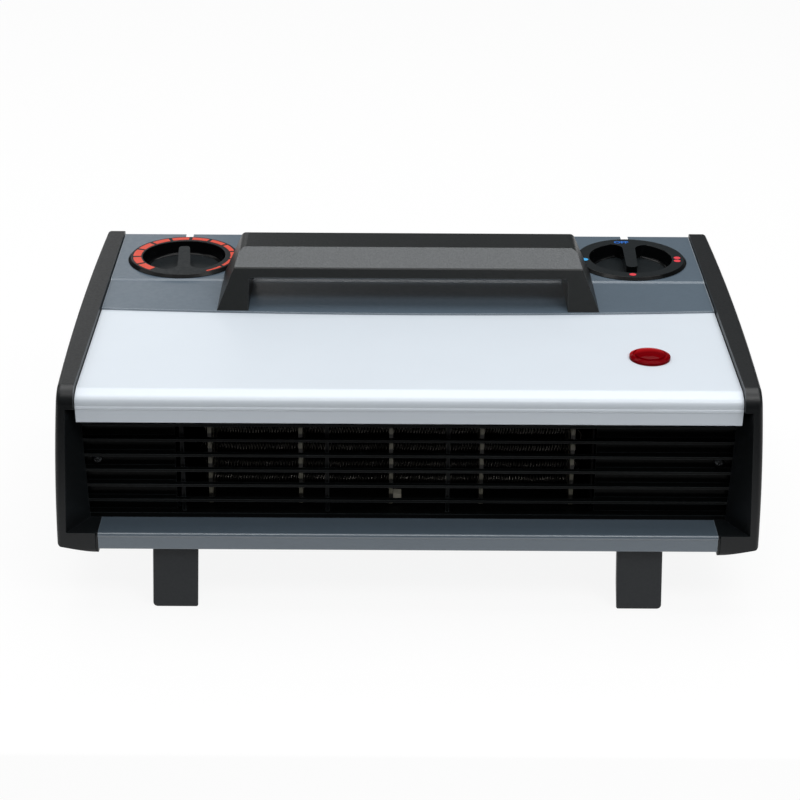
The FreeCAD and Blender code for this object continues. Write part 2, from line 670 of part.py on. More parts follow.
# Handle
def handle():
    """Bridge handle: raked front, tilted grip facet, flared ends, hand gap and hollow grip."""
    base = cover_low + SEAT_GAP
    front_top = cover_front + HANDLE_FRONT_RAKE
    facet_top = front_top + HANDLE_FACET
    flat_end = facet_top + HANDLE_FLAT
    rear_foot = flat_end + HANDLE_REAR_RAKE
    top = base + HANDLE_RISE
    shoulder = base + HANDLE_FRONT_RISE
    wide = handle_half
    narrow = handle_half - HANDLE_FLARE
    profile = [(cover_front, base, 0), (front_top, shoulder, HANDLE_EDGE_RADIUS),
               (facet_top, top, HANDLE_EDGE_RADIUS), (flat_end, top, 2 * HANDLE_EDGE_RADIUS),
               (rear_foot, base, 0)]
    body = extruded(in_yz(-wide, profile), V(2 * wide, 0, 0))
    ends = [(-wide, base, 0), (wide, base, 0), (narrow, top, HANDLE_END_RADIUS),
            (-narrow, top, HANDLE_END_RADIUS)]
    body = body.common(extruded(in_xz(cover_front, ends), V(0, rear_foot - cover_front, 0)))

    gap = hand_gap_half
    gap_top = base + HAND_GAP_HEIGHT
    tunnel = [(-gap, base, 0), (gap, base, 0), (gap, gap_top, HAND_GAP_RADIUS),
              (-gap, gap_top, HAND_GAP_RADIUS)]
    body = body.cut(extruded(in_xz(cover_front, tunnel), V(0, rear_foot - cover_front, 0)))
    roof = top - HANDLE_WALL
    underside = [(front_top + HANDLE_WALL, gap_top - HAND_GAP_RADIUS, 0),
                 (front_top + HANDLE_WALL, shoulder - HANDLE_WALL, 0), (facet_top, roof, 0),
                 (flat_end, roof, 0), (flat_end + HANDLE_WALL, gap_top - HAND_GAP_RADIUS, 0)]
    inset = gap - HAND_GAP_RADIUS
    body = body.cut(extruded(in_yz(-inset, underside), V(2 * inset, 0, 0)))

    step = block(-wide, wide, crease_y - CREASE_RUN - CREASE_RADIUS, rear_foot, base, base + CREASE_STEP)
    holes = [screw_hole(seat, UP, SCREW_LENGTH + SHEET) for seat in handle_screw_seats()]
    return body.cut([step] + holes)


# Knobs and controls
def knob(x, free_end, turn):
    """Dished knob with a grip bar joined to the ring opposite its free end (+1 rear, -1 front)."""
    axis = V(x, knob_y, 0)
    under = cover_top + KNOB_LIFT
    bowl_radius = KNOB_FLOOR_RADIUS + KNOB_FLOOR
    section = [(0, hub_top, 0), (bowl_radius, hub_top, KNOB_FLOOR), (bowl_radius, under, 0),
               (KNOB_FLANGE_RADIUS, under, 0), (KNOB_RING_RADIUS, knob_top, KNOB_EDGE_RADIUS),
               (KNOB_DISH_RADIUS, knob_top, KNOB_LIFT),
               (KNOB_FLOOR_RADIUS, dish_floor, KNOB_FLOOR), (0, dish_floor, 0)]
    face = Part.Face(rounded_wire([(V(x + r, knob_y, z), fillet) for r, z, fillet in section], True))
    body = face.revolve(axis, UP, 360)
    half_bar = KNOB_BAR_WIDTH / 2
    half_end = KNOB_BAR_END_WIDTH / 2
    free_y = free_end * (KNOB_FLOOR_RADIUS - KNOB_BAR_END_GAP)
    root_y = -free_end * (KNOB_DISH_RADIUS + KNOB_LIFT)
    gusset_y = root_y + free_end * KNOB_GUSSET_DEPTH
    wide = KNOB_GUSSET_WIDTH / 2
    bar = [(x - wide, knob_y + root_y, 0), (x - wide, knob_y + gusset_y, 0),
           (x - half_bar, knob_y + gusset_y, KNOB_GUSSET_RADIUS),
           (x - half_end, knob_y + free_y, half_end - KNOB_LIFT),
           (x + half_end, knob_y + free_y, half_end - KNOB_LIFT),
           (x + half_bar, knob_y + gusset_y, KNOB_GUSSET_RADIUS),
           (x + wide, knob_y + gusset_y, 0), (x + wide, knob_y + root_y, 0)]
    grip_low = dish_floor - KNOB_LIFT
    grip = extruded(in_xy(grip_low, bar), V(0, 0, knob_top - grip_low))
    grip = grip.common(rod(bowl_radius, axis + UP * grip_low, axis + UP * knob_top))
    body = body.fuse([grip, rod(KNOB_HUB_RADIUS, axis + UP * hub_low, axis + UP * (hub_top + KNOB_LIFT))])
    body = body.removeSplitter().cut(rod(SPINDLE_RADIUS + RUNNING_GAP / 2, axis + UP * hub_low,
                                         axis + UP * spindle_top))
    body.rotate(axis, UP, turn)
    return body


def spindle(x):
    """Control spindle, from inside the control up into the knob's hub."""
    return rod(SPINDLE_RADIUS, V(x, knob_y, spindle_top - SPINDLE_LENGTH), V(x, knob_y, spindle_top))


def control_bracket(x):
    """Hat-shaped bracket under the cover that carries a control by its bush."""
    low = bracket_plate - SHEET
    inner = BRACKET_SPAN / 2
    y0, y1 = knob_y - BRACKET_WIDTH / 2, knob_y + BRACKET_WIDTH / 2
    strips = [block(x - inner, x + inner, y0, y1, low, bracket_plate)]
    for side in (-1, 1):
        x0, x1 = sorted((x + side * (inner - SHEET), x + side * inner))
        strips.append(block(x0, x1, y0, y1, low, bracket_top))
        x0, x1 = sorted((x + side * (inner - SHEET), x + side * (inner + BRACKET_FLANGE)))
        strips.append(block(x0, x1, y0, y1, bracket_top - SHEET, bracket_top))
    hole = rod(BUSH_RADIUS + SEAT_GAP, V(x, knob_y, low - SHEET), V(x, knob_y, bracket_plate + SHEET))
    return strips[0].fuse(strips[1:]).removeSplitter().cut(hole)


def control_body(x, shell):
    """Control: a shell under the bracket, its threaded bush above and a bore for the spindle."""
    axis = V(x, knob_y, 0)
    low = bracket_plate - SHEET
    body = shell.fuse(rod(BUSH_RADIUS, axis + UP * low, axis + UP * (bracket_plate + BUSH_LENGTH)))
    bore = rod(SPINDLE_RADIUS + RUNNING_GAP, axis + UP * (spindle_top - SPINDLE_LENGTH - SEAT_GAP),
               axis + UP * (bracket_plate + BUSH_LENGTH))
    return body.removeSplitter().cut(bore)


def thermostat_body(x):
    """Thermostat: square ceramic base with two terminal tabs."""
    high = bracket_plate - SHEET
    low = high - THERMOSTAT_HEIGHT
    side = THERMOSTAT_SIZE / 2
    corner = THERMOSTAT_CORNER
    outline = [(x - side, knob_y - side, corner), (x + side, knob_y - side, corner),
               (x + side, knob_y + side, corner), (x - side, knob_y + side, corner)]
    shell = extruded(in_xy(low, outline), V(0, 0, THERMOSTAT_HEIGHT))
    tab_z = low + THERMOSTAT_HEIGHT / 4
    tabs = [block(x + dx - TAB_WIDTH / 2, x + dx + TAB_WIDTH / 2, knob_y - side - TAB_LENGTH, knob_y - side,
                  tab_z, tab_z + TAB_THICKNESS) for dx in (-THERMOSTAT_TAB_SPREAD, THERMOSTAT_TAB_SPREAD)]
    return control_body(x, shell.fuse(tabs))


def selector_switch(x):
    """Rotary switch: round moulded body with four terminal tabs below."""
    high = bracket_plate - SHEET
    low = high - SWITCH_HEIGHT
    shell = rod(SWITCH_RADIUS, V(x, knob_y, low), V(x, knob_y, high))
    across, along = SWITCH_TAB_SPREAD
    tabs = [block(x + dx - TAB_WIDTH / 2, x + dx + TAB_WIDTH / 2, knob_y + dy - TAB_THICKNESS / 2,
                  knob_y + dy + TAB_THICKNESS / 2, low - TAB_LENGTH, low)
            for dx in (-across, across) for dy in (-along, along)]
    return control_body(x, shell.fuse(tabs))


def control_nut(x):
    """Hexagon nut that clamps a control's bush on its bracket."""
    seat = V(x, knob_y, bracket_plate)
    corners = [math.radians(60 * i) for i in range(7)]
    points = [seat + V(math.cos(angle), math.sin(angle), 0) * NUT_RADIUS for angle in corners]
    nut = Part.Face(Part.makePolygon(points)).extrude(V(0, 0, NUT_HEIGHT))
    return nut.cut(rod(BUSH_RADIUS + SEAT_GAP, seat, seat + UP * NUT_HEIGHT))


# Indicator
def neon_lens():
    """Red lens: rim, groove and low dome above the panel and a hollow stem below."""
    axis = V(lens_x, lens_y, 0)
    dome = panel_top + LENS_WALL + LENS_CROWN
    radius = (LENS_RADIUS ** 2 + LENS_CROWN ** 2) / (2 * LENS_CROWN)
    cap = rod(LENS_RADIUS, axis + UP * panel_top, axis + UP * (dome + SHEET))
    cap = cap.common(Part.makeSphere(radius, axis + UP * (dome - radius)))
    groove_z = dome - radius + math.sqrt(radius ** 2 - LENS_GROOVE_AT ** 2)
    cap = cap.cut(Part.makeTorus(LENS_GROOVE_AT, LENS_GROOVE_RADIUS, axis + UP * groove_z, UP))
    stem_low = axis + UP * (panel_top - LENS_STEM_LENGTH)
    lens = cap.fuse(rod(LENS_STEM_RADIUS, stem_low, axis + UP * panel_top))
    return lens.removeSplitter().cut(rod(LENS_BORE_RADIUS, stem_low, axis + UP * (panel_top - SHEET)))


def neon_lamp():
    """Neon bulb on a base plugged into the lens's stem."""
    low = panel_top - LENS_STEM_LENGTH
    base = rod(LENS_BORE_RADIUS - SEAT_GAP, V(0, 0, low), V(0, 0, low + LAMP_BASE_HEIGHT))
    bulb = rod(LAMP_RADIUS, V(0, 0, low), V(0, 0, low + LAMP_BASE_HEIGHT + LAMP_LENGTH))
    tip = max(bulb.Edges, key=lambda edge: edge.CenterOfMass.z)
    bulb = bulb.makeFillet(LAMP_TIP_RADIUS, [tip])
    lamp = base.fuse(bulb).removeSplitter()
    lamp.translate(V(lens_x, lens_y, 0))
    return lamp


def neon_clip():
    """Spring ring round the lens's stem, under the panel."""
    axis = V(lens_x, lens_y, 0)
    start = axis + UP * (panel_under - SEAT_GAP - SHEET)
    end = axis + UP * (panel_under - SEAT_GAP)
    return rod(LENS_RADIUS, start, end).cut(rod(LENS_STEM_RADIUS + SEAT_GAP, start, end))


# Blower and duct
def blade():
    """One forward-curved blade of the wheel, standing on the +Y side of the axis."""
    def point(radius, degrees):
        angle = math.radians(degrees)
        return V(wheel_left + WHEEL_DISC / 2, wheel_y + radius * math.cos(angle),
                 wheel_z + radius * math.sin(angle))
    radii = (WHEEL_INNER_RADIUS, (WHEEL_INNER_RADIUS + WHEEL_RADIUS) / 2, WHEEL_RADIUS - WHEEL_DISC / 4)
    swept = (0, BLADE_SWEEP / 3, BLADE_SWEEP)
    first = [point(r, a) for r, a in zip(radii, swept)]
    second = [point(r, a + BLADE_ANGLE_WIDTH) for r, a in zip(radii, swept)]
    edges = [Part.Arc(*first).toShape(), Part.makeLine(first[2], second[2]),
             Part.Arc(*second[::-1]).toShape(), Part.makeLine(second[0], first[0])]
    return Part.Face(Part.Wire(edges)).extrude(V(wheel_right - wheel_left - WHEEL_DISC, 0, 0))


def on_axis(x):
    """Point on the wheel's axis."""
    return wheel_axis + RIGHT * x


def blower_wheel():
    """Tangential wheel: curved blades between end discs, stiffened by rings, with a hub and a stub."""
    first = blade()
    pieces = []
    for i in range(BLADE_COUNT):
        copy = first.copy()
        copy.rotate(wheel_axis, RIGHT, 360.0 * i / BLADE_COUNT)
        pieces.append(copy)
    step = (wheel_right - wheel_left) / (WHEEL_RINGS + 1)
    for i in range(1, WHEEL_RINGS + 1):
        start, end = on_axis(wheel_left + i * step), on_axis(wheel_left + i * step + WHEEL_DISC)
        pieces.append(rod(WHEEL_RADIUS, start, end).cut(rod(WHEEL_INNER_RADIUS - WHEEL_DISC, start, end)))
    pieces.append(rod(WHEEL_RADIUS, on_axis(wheel_right - WHEEL_DISC), on_axis(wheel_right)))
    hub_start, hub_end = on_axis(wheel_right - WHEEL_HUB_LENGTH), on_axis(wheel_right + HUB_STANDOFF)
    pieces.append(rod(WHEEL_HUB_RADIUS, hub_start, hub_end))
    pieces.append(rod(STUB_RADIUS, on_axis(wheel_left - STUB_LENGTH), on_axis(wheel_left + WHEEL_DISC)))
    wheel = rod(WHEEL_RADIUS, on_axis(wheel_left), on_axis(wheel_left + WHEEL_DISC))
    wheel = wheel.fuse(pieces).removeSplitter()
    return wheel.cut(rod(SHAFT_RADIUS + RUNNING_GAP / 2, hub_start, hub_end))


def wheel_bush():
    """Flanged bush in the left duct wall that carries the wheel's stub."""
    start, seat, end = (on_axis(duct_left + reach * SHEET) for reach in (-3, -1, 1))
    flange = rod(BUSH_OUTER_RADIUS + BUSH_FLANGE, start, seat)
    bush = flange.fuse(rod(BUSH_OUTER_RADIUS, seat, end)).removeSplitter()
    return bush.cut(rod(STUB_RADIUS + RUNNING_GAP, start, end))


def duct_wall(x0, outward, hole_radius):
    """Upright end plate of the duct with a turned-out foot on the pan and a hole round the axis."""
    rear = wheel_y + WHEEL_RADIUS + SCROLL_GAP + 2 * SHEET
    high = pan_top + DUCT_WALL_TOP
    outline = [(duct_front, pan_top, 0), (duct_front, high, 0), (rear, high, WHEEL_RADIUS),
               (rear, pan_top, 0)]
    plate = extruded(in_yz(x0, outline), V(SHEET, 0, 0))
    edge = x0 if outward < 0 else x0 + SHEET
    low, top = sorted((edge, edge + outward * DUCT_FOOT))
    plate = plate.fuse(block(low, top, card_back, rear, pan_top, pan_top + SHEET)).removeSplitter()
    return plate.cut(rod(hole_radius, on_axis(x0 - SHEET), on_axis(x0 + 2 * SHEET)))


def blower_scroll():
    """Duct floor that curls up round the back of the wheel in two growing arcs."""
    x = duct_left
    near = WHEEL_RADIUS + SCROLL_GAP
    far = near + SCROLL_GROWTH
    bottom = V(x, wheel_y, duct_floor)
    rear = V(x, wheel_y + near, wheel_z)

    def on_arc(radius, degrees):
        angle = math.radians(degrees)
        return V(x, wheel_y + near - radius + radius * math.cos(angle), wheel_z + radius * math.sin(angle))
    edges = [Part.makeLine(V(x, duct_front, duct_floor), bottom),
             Part.Arc(bottom, on_arc(near, -45), rear).toShape(),
             Part.Arc(rear, on_arc(far, SCROLL_END_ANGLE / 2), on_arc(far, SCROLL_END_ANGLE)).toShape()]
    return folded_sheet(Part.Wire(edges), DUCT_SHEET, duct_right - duct_left)


def blower_tongue():
    """Duct roof that bends down to a lip close in front of the wheel."""
    angle = math.radians(TONGUE_ANGLE)
    reach = WHEEL_RADIUS + TONGUE_GAP
    tip_y = wheel_y + reach * math.cos(angle)
    tip_z = wheel_z + reach * math.sin(angle)
    line = [(duct_front, duct_roof, 0), (tip_y - TONGUE_GAP, duct_roof, TONGUE_GAP),
            (tip_y, tip_z, DUCT_SHEET), (tip_y - 2 * TONGUE_GAP, tip_z - TONGUE_GAP, 0)]
    return folded_sheet(rounded_wire(in_yz(duct_left, line), False), -DUCT_SHEET, duct_right - duct_left)


# Motor
def motor_shaft():
    """Motor shaft from the wheel's hub through both bearings."""
    end = stator_right + MOTOR_PLATE_GAP + MOTOR_PLATE + MOTOR_BOSS_LENGTH
    return rod(SHAFT_RADIUS, on_axis(wheel_right - WHEEL_HUB_LENGTH), on_axis(end))


def motor_rotor():
    """Squirrel-cage rotor on the shaft, a little longer than the stack."""
    start, end = on_axis(stator_left - SHEET), on_axis(stator_right + SHEET)
    return rod(ROTOR_RADIUS, start, end).cut(rod(SHAFT_RADIUS + RUNNING_GAP / 2, start, end))


def stator_leg():
    """Front and rear faces of the stator leg that carries the coil."""
    front = wheel_y - STATOR_FRONT
    return front, front + STATOR_LEG


def motor_stator():
    """Laminated core: rotor bore at the rear, a coil leg at the front and a window between."""
    leg_front, leg_back = stator_leg()
    low, high = wheel_z - STATOR_HALF_HEIGHT, wheel_z + STATOR_HALF_HEIGHT
    core = block(stator_left, stator_right, leg_front, wheel_y + STATOR_REAR, low, high)
    window = block(stator_left, stator_right, leg_back, leg_back + STATOR_WINDOW, low + STATOR_YOKE,
                   high - STATOR_YOKE)
    bore = rod(ROTOR_RADIUS + AIR_GAP, on_axis(stator_left), on_axis(stator_right))
    return core.cut([window, bore])


def motor_coil():
    """Bobbin winding round the stator's front leg."""
    leg_front, leg_back = stator_leg()
    low = wheel_z - STATOR_HALF_HEIGHT + STATOR_YOKE + SEAT_GAP
    high = wheel_z + STATOR_HALF_HEIGHT - STATOR_YOKE - SEAT_GAP
    x0, x1 = stator_left - COIL_BUILD, stator_right + COIL_BUILD
    y0, y1 = leg_front - COIL_BUILD, leg_back + COIL_BUILD
    outline = [(x, y, COIL_BUILD / 2) for x, y in ((x0, y0), (x1, y0), (x1, y1), (x0, y1))]
    coil = extruded(in_xy(low, outline), V(0, 0, high - low))
    return coil.cut(block(stator_left - SEAT_GAP, stator_right + SEAT_GAP, leg_front - SEAT_GAP,
                          leg_back + SEAT_GAP, low, high))


def motor_bracket(stack_face, outward, standoff):
    """Bearing plate beside the stack, on two posts, with a boss round the shaft."""
    plate_near = stack_face + outward * MOTOR_PLATE_GAP
    plate_far = plate_near + outward * MOTOR_PLATE
    x0, x1 = sorted((plate_near, plate_far))
    wide = MOTOR_PLATE_HALF_WIDTH
    tall = STATOR_HALF_HEIGHT
    corners = [(wheel_y + dy, wheel_z + dz, MOTOR_PLATE_CORNER)
               for dy, dz in ((-wide, -tall), (wide, -tall), (wide, tall), (-wide, tall))]
    posts = [V(0, dy, dz) for dy, dz in MOTOR_POSTS]
    pieces = [rod(MOTOR_POST_RADIUS, on_axis(stack_face) + post, on_axis(standoff) + post)
              for post in posts]
    boss_start = on_axis(plate_near - outward * (MOTOR_PLATE_GAP - 2 * SHEET))
    pieces.append(rod(MOTOR_BOSS_RADIUS, boss_start, boss_start + RIGHT * (outward * MOTOR_BOSS_LENGTH)))
    bracket = extruded(in_yz(x0, corners), V(x1 - x0, 0, 0)).fuse(pieces).removeSplitter()
    return bracket.cut(rod(SHAFT_RADIUS + RUNNING_GAP, on_axis(x0 - MOTOR_BOSS_LENGTH),
                           on_axis(x1 + MOTOR_BOSS_LENGTH)))


# Heating element
def element_rails():
    """Two strips across the duct that hold the mica cards top and bottom."""
    return Part.makeCompound([block(duct_left, duct_right, card_front, card_back, duct_floor, card_low),
                              block(duct_left, duct_right, card_front, card_back, card_high, duct_roof)])


def mica_cards():
    """Upright mica cards with a hole for each coil."""
    cards = []
    for x in card_xs:
        card = block(x - CARD_THICKNESS / 2, x + CARD_THICKNESS / 2, card_front, card_back, card_low,
                     card_high)
        hole = COIL_RADIUS + COIL_WIRE_RADIUS + COIL_HOLE_GAP
        through = RIGHT * CARD_THICKNESS
        middles = [V(x, coil_y, z) for z in coil_zs]
        cards.append(card.cut([rod(hole, middle - through, middle + through) for middle in middles]))
    return Part.makeCompound(cards)


def arc_from(start, tangent, end):
    """Circular arc that leaves a start along a tangent and reaches an end."""
    chord = end - start
    aside = tangent - chord * (tangent.dot(chord) / chord.dot(chord))
    bulge = chord.Length / 2 * math.tan(tangent.getAngle(chord) / 2)
    return Part.Arc(start, (start + end) * 0.5 + aside.normalize() * bulge, end).toShape()


def biarc(start, leave, end, arrive):
    """Two tangent arcs between two points with given unit directions."""
    chord = end - start
    both = leave + arrive
    spread = 2 * (1 - leave.dot(arrive))
    reach = (math.sqrt(chord.dot(both) ** 2 + spread * chord.dot(chord)) - chord.dot(both)) / spread
    join = (start + leave * reach + end - arrive * reach) * 0.5
    second = arc_from(end, arrive * -1, join)
    return [arc_from(start, leave, join), second]


def coil_row(z):
    """Centre line of one coil along X: straight ends and half-turn biarcs of a helix."""
    start_x = first_card - COIL_MARGIN
    pitch = (last_card - first_card + 2 * COIL_MARGIN) / COIL_TURNS

    def station(i):
        angle = math.pi * i
        point = V(start_x + pitch * i / 2, coil_y + COIL_RADIUS * math.sin(angle),
                  z + COIL_RADIUS * math.cos(angle))
        heading = V(pitch / (2 * math.pi), COIL_RADIUS * math.cos(angle), -COIL_RADIUS * math.sin(angle))
        return point, heading.normalize()
    stations = [station(i) for i in range(2 * COIL_TURNS + 1)]
    first, heading = stations[0]
    last, final = stations[-1]
    lead = 2 * COIL_WIRE_RADIUS
    edges = [Part.makeLine(first - heading * lead, first)]
    for (start, leave), (end, arrive) in zip(stations, stations[1:]):
        edges += biarc(start, leave, end, arrive)
    edges.append(Part.makeLine(last, last + final * lead))
    return Part.Wire(Part.__sortEdges__(edges))


def least_self_gap(wire):
    """Least gap of a tube to itself, measured between points more than half a turn apart."""
    points = wire.discretize(Number=POINTS_PER_TURN * COIL_TURNS)
    apart = POINTS_PER_TURN // 2
    least = min((points[i] - points[j]).Length for i in range(len(points))
                for j in range(i + apart, min(i + 4 * apart, len(points))))
    return least - 2 * COIL_WIRE_RADIUS


def heater_coils():
    """The heating coils, each one unbroken tube."""
    rows = []
    for z in coil_zs:
        line = coil_row(z)
        start = line.Vertexes[0].Point
        ring = Part.Circle(start, line.Edges[0].tangentAt(line.Edges[0].FirstParameter), COIL_WIRE_RADIUS)
        rows.append(line.makePipeShell([Part.Wire([ring.toShape()])], True, False))
        print("coil at height %.1f: least gap to itself %.2f mm" % (z, least_self_gap(line)))
    return Part.makeCompound(rows)


def thermal_cutout():
    """Ceramic thermal cut-out on the lower rail, in front of the cards."""
    wide, deep, tall = CUTOUT_SIZE
    x = card_xs[CARD_COUNT // 2] + CUTOUT_FROM_CARD
    return block(x - wide / 2, x + wide / 2, card_front + SHEET, card_front + SHEET + deep, card_low,
                 card_low + tall)


# Connections
def terminal_block():
    """Terminal block on the pan with a wire bore and a screw well at each way."""
    long, deep, tall = TERMINAL_SIZE
    x0 = half - TERMINAL_FROM_SIDE
    y0 = rear_y - TERMINAL_FROM_REAR
    body = block(x0, x0 + long, y0, y0 + deep, pan_top, pan_top + tall)
    cutters = []
    for i in range(TERMINAL_WAYS):
        middle = V(x0 + (i + 0.5) * long / TERMINAL_WAYS, y0 + deep / 2, pan_top + tall / 2)
        half_way = BACKWARD * (deep / 2)
        cutters.append(rod(TERMINAL_BORE_RADIUS, middle - half_way, middle + half_way))
        cutters.append(rod(TERMINAL_WELL_RADIUS, middle, middle + UP * (tall / 2)))
    return body.cut(cutters)


def cord_gland():
    """Flanged gland in the back panel, with a bore for a mains lead."""
    def at(y):
        return V(gland_x, y, gland_z)
    end = back_outer + BACK_INSET
    start = end - GLAND_LENGTH
    body = rod(GLAND_FLANGE_RADIUS, at(back_outer), at(end)).fuse(rod(GLAND_RADIUS, at(start), at(end)))
    return body.removeSplitter().cut(rod(GLAND_BORE_RADIUS, at(start), at(end)))


def foot(top, depth_sign):
    """Splayed foot that narrows towards the middle of the case, with a recessed screw seat."""
    out = 1 if top.x > 0 else -1
    outer, inner = top.x + out * FOOT_WIDTH / 2, top.x - out * FOOT_WIDTH / 2
    splay = out * FOOT_SPLAY
    face_y = top.y + depth_sign * FOOT_DEPTH / 2
    back_y = top.y - depth_sign * FOOT_DEPTH / 2
    front = [(outer + splay, 0, FOOT_OUTER_RADIUS), (outer, top.z, 0), (inner, top.z, 0),
             (inner + splay, 0, FOOT_INNER_RADIUS)]
    body = extruded(in_xz(face_y, front), V(0, back_y - face_y, 0))
    rear = out * FOOT_REAR_WIDTH / 2
    plan = [(outer, face_y), (top.x + rear, back_y), (top.x - rear, back_y), (inner, face_y)]
    prism = extruded(in_xy(0, [(x, y, FOOT_INNER_RADIUS) for x, y in plan]), V(splay, 0, -top.z))
    prism.translate(UP * top.z)
    body = body.common(prism)
    seat = V(top.x, top.y, top.z - FOOT_SEAT)
    return body.cut([rod(FOOT_BORE_RADIUS, V(top.x, top.y, 0), seat), screw_hole(seat, UP, FOOT_SEAT)])


# Assembly
def build():
    """Every node of the heater by name."""
    left, right = -knob_x, knob_x
    cap = end_cap()
    nodes = {
        "base_pan": base_pan(),
        "front_trim": front_trim(),
        "top_cover": top_cover(),
        "front_panel": front_panel(),
        "back_panel": back_panel(),
        "right_end_cap": cap,
        "left_end_cap": mirrored(cap),
        "outlet_grille": outlet_grille(),
        "handle": handle(),
        "thermostat_knob": knob(left, 1, THERMOSTAT_BAR_TURN),
        "selector_knob": knob(right, -1, SELECTOR_BAR_TURN),
        "thermostat_spindle": spindle(left),
        "selector_spindle": spindle(right),
        "thermostat_bracket": control_bracket(left),
        "selector_bracket": control_bracket(right),
        "thermostat_body": thermostat_body(left),
        "selector_switch": selector_switch(right),
        "control_nuts": Part.makeCompound([control_nut(left), control_nut(right)]),
        "neon_lens": neon_lens(),
        "neon_lamp": neon_lamp(),
        "neon_clip": neon_clip(),
        "blower_wheel": blower_wheel(),
        "wheel_bush": wheel_bush(),
        "left_duct_wall": duct_wall(duct_left - SHEET, -1, BUSH_OUTER_RADIUS + SEAT_GAP),
        "right_duct_wall": duct_wall(duct_right, 1, SHAFT_HOLE_RADIUS),
        "blower_scroll": blower_scroll(),
        "blower_tongue": blower_tongue(),
        "motor_shaft": motor_shaft(),
        "motor_rotor": motor_rotor(),
        "motor_stator": motor_stator(),
        "motor_coil": motor_coil(),
        "inner_motor_bracket": motor_bracket(stator_left, -1, duct_right + SHEET),
        "outer_motor_bracket": motor_bracket(stator_right, 1, stator_right + MOTOR_PLATE_GAP),
        "element_rails": element_rails(),
        "mica_cards": mica_cards(),
        "heater_coils": heater_coils(),
        "thermal_cutout": thermal_cutout(),
        "terminal_block": terminal_block(),
        "cord_gland": cord_gland(),
        "grille_screws": Part.makeCompound([screw(seat, BACKWARD) for seat in grille_screw_seats()]),
        "handle_screws": Part.makeCompound([screw(seat, UP) for seat in handle_screw_seats()]),
        "cap_screws": Part.makeCompound([screw(seat, UP) for seat in cap_screw_seats()]),
    }
    foot_screws = []
    for name, top in foot_centres().items():
        nodes[name] = foot(top, -1 if "front" in name else 1)
        foot_screws.append(screw(top - UP * FOOT_SEAT, UP))
    nodes["foot_screws"] = Part.makeCompound(foot_screws)
    return nodes


os.makedirs("parts", exist_ok=True)
for node_name, shape in build().items():
    shape.exportStep("parts/%s.step" % node_name)
    print(node_name, "solids", len(shape.Solids), "valid", shape.isValid(), "volume %.0f" % shape.Volume)
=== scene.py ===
# %% [markdown]
# # A fan-forced convector heater
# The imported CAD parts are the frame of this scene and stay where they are. This lesson gives each of
# them its finish, replaces the few whose fine form suits mesh code better, prints the dials, and lights
# the heater as a small studio would.

# %% Frame
import json
import math
import random

import bmesh
import bpy
from mathutils import Matrix, Vector
from mathutils.bvhtree import BVHTree

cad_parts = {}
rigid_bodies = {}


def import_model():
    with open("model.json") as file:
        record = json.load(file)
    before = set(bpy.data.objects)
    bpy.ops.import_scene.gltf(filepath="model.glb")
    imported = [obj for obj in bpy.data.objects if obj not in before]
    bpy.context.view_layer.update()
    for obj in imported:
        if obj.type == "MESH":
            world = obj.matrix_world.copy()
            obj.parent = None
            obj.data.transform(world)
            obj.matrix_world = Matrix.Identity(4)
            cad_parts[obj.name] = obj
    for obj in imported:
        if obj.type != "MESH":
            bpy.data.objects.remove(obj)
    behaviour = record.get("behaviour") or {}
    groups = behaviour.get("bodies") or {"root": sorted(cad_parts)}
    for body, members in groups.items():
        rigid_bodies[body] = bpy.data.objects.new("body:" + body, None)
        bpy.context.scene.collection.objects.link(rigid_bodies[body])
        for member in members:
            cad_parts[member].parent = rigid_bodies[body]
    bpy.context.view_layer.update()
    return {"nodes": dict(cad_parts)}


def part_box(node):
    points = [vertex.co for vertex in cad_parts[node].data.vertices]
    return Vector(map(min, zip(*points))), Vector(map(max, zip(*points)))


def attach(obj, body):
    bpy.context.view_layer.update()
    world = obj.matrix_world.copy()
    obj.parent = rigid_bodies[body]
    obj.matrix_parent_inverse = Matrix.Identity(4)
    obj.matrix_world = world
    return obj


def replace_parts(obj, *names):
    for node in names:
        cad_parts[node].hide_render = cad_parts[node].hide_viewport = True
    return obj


for leftover in list(bpy.data.objects):
    bpy.data.objects.remove(leftover)
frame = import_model()
nodes = frame["nodes"]
MM = 0.001

# %% [markdown]
# ## Camera
# The heater stands square to the camera, which looks down on it from a little above table height. The
# nearly parallel side edges ask for a long lens. Its focal length is given in picture points, so that the
# frame doesn't depend on the sensor. The eye stands 11 mm left of the heater's middle, which shows in how
# the rear corners line up, and a small lens shift brings the heater back to the middle of the frame. A
# third of a degree of roll lowers the right side.

# %% Camera
SENSOR = 36.0
PICTURE_WIDTH = 800
FOCAL_IN_PIXELS = 2120
EYE = Vector((-0.0107, -1.154, 0.605))
PITCH = math.radians(24.7)
ROLL = math.radians(0.32)
LENS_SHIFT = 0.0133

scene = bpy.context.scene
lens = bpy.data.cameras.new("long_lens")
lens.sensor_width = SENSOR
lens.lens = SENSOR * FOCAL_IN_PIXELS / PICTURE_WIDTH
lens.shift_x = LENS_SHIFT
camera = bpy.data.objects.new("camera", lens)
turn = Matrix.Rotation(math.pi / 2 - PITCH, 4, "X") @ Matrix.Rotation(ROLL, 4, "Z")
camera.matrix_world = Matrix.Translation(EYE) @ turn
scene.collection.objects.link(camera)
scene.camera = camera
scene.view_settings.view_transform = "Standard"
print("camera: focal length", round(lens.lens, 1), "mm")

# %% [markdown]
# ## Adding shader nodes
# Every finish here is a small network of nodes. One function adds a node, sets its own properties, fills
# its fixed sockets and links the sockets that other nodes feed. Colours are written as the hex values that
# a painter would read off a screen, and one function turns them into the linear light that shaders use.

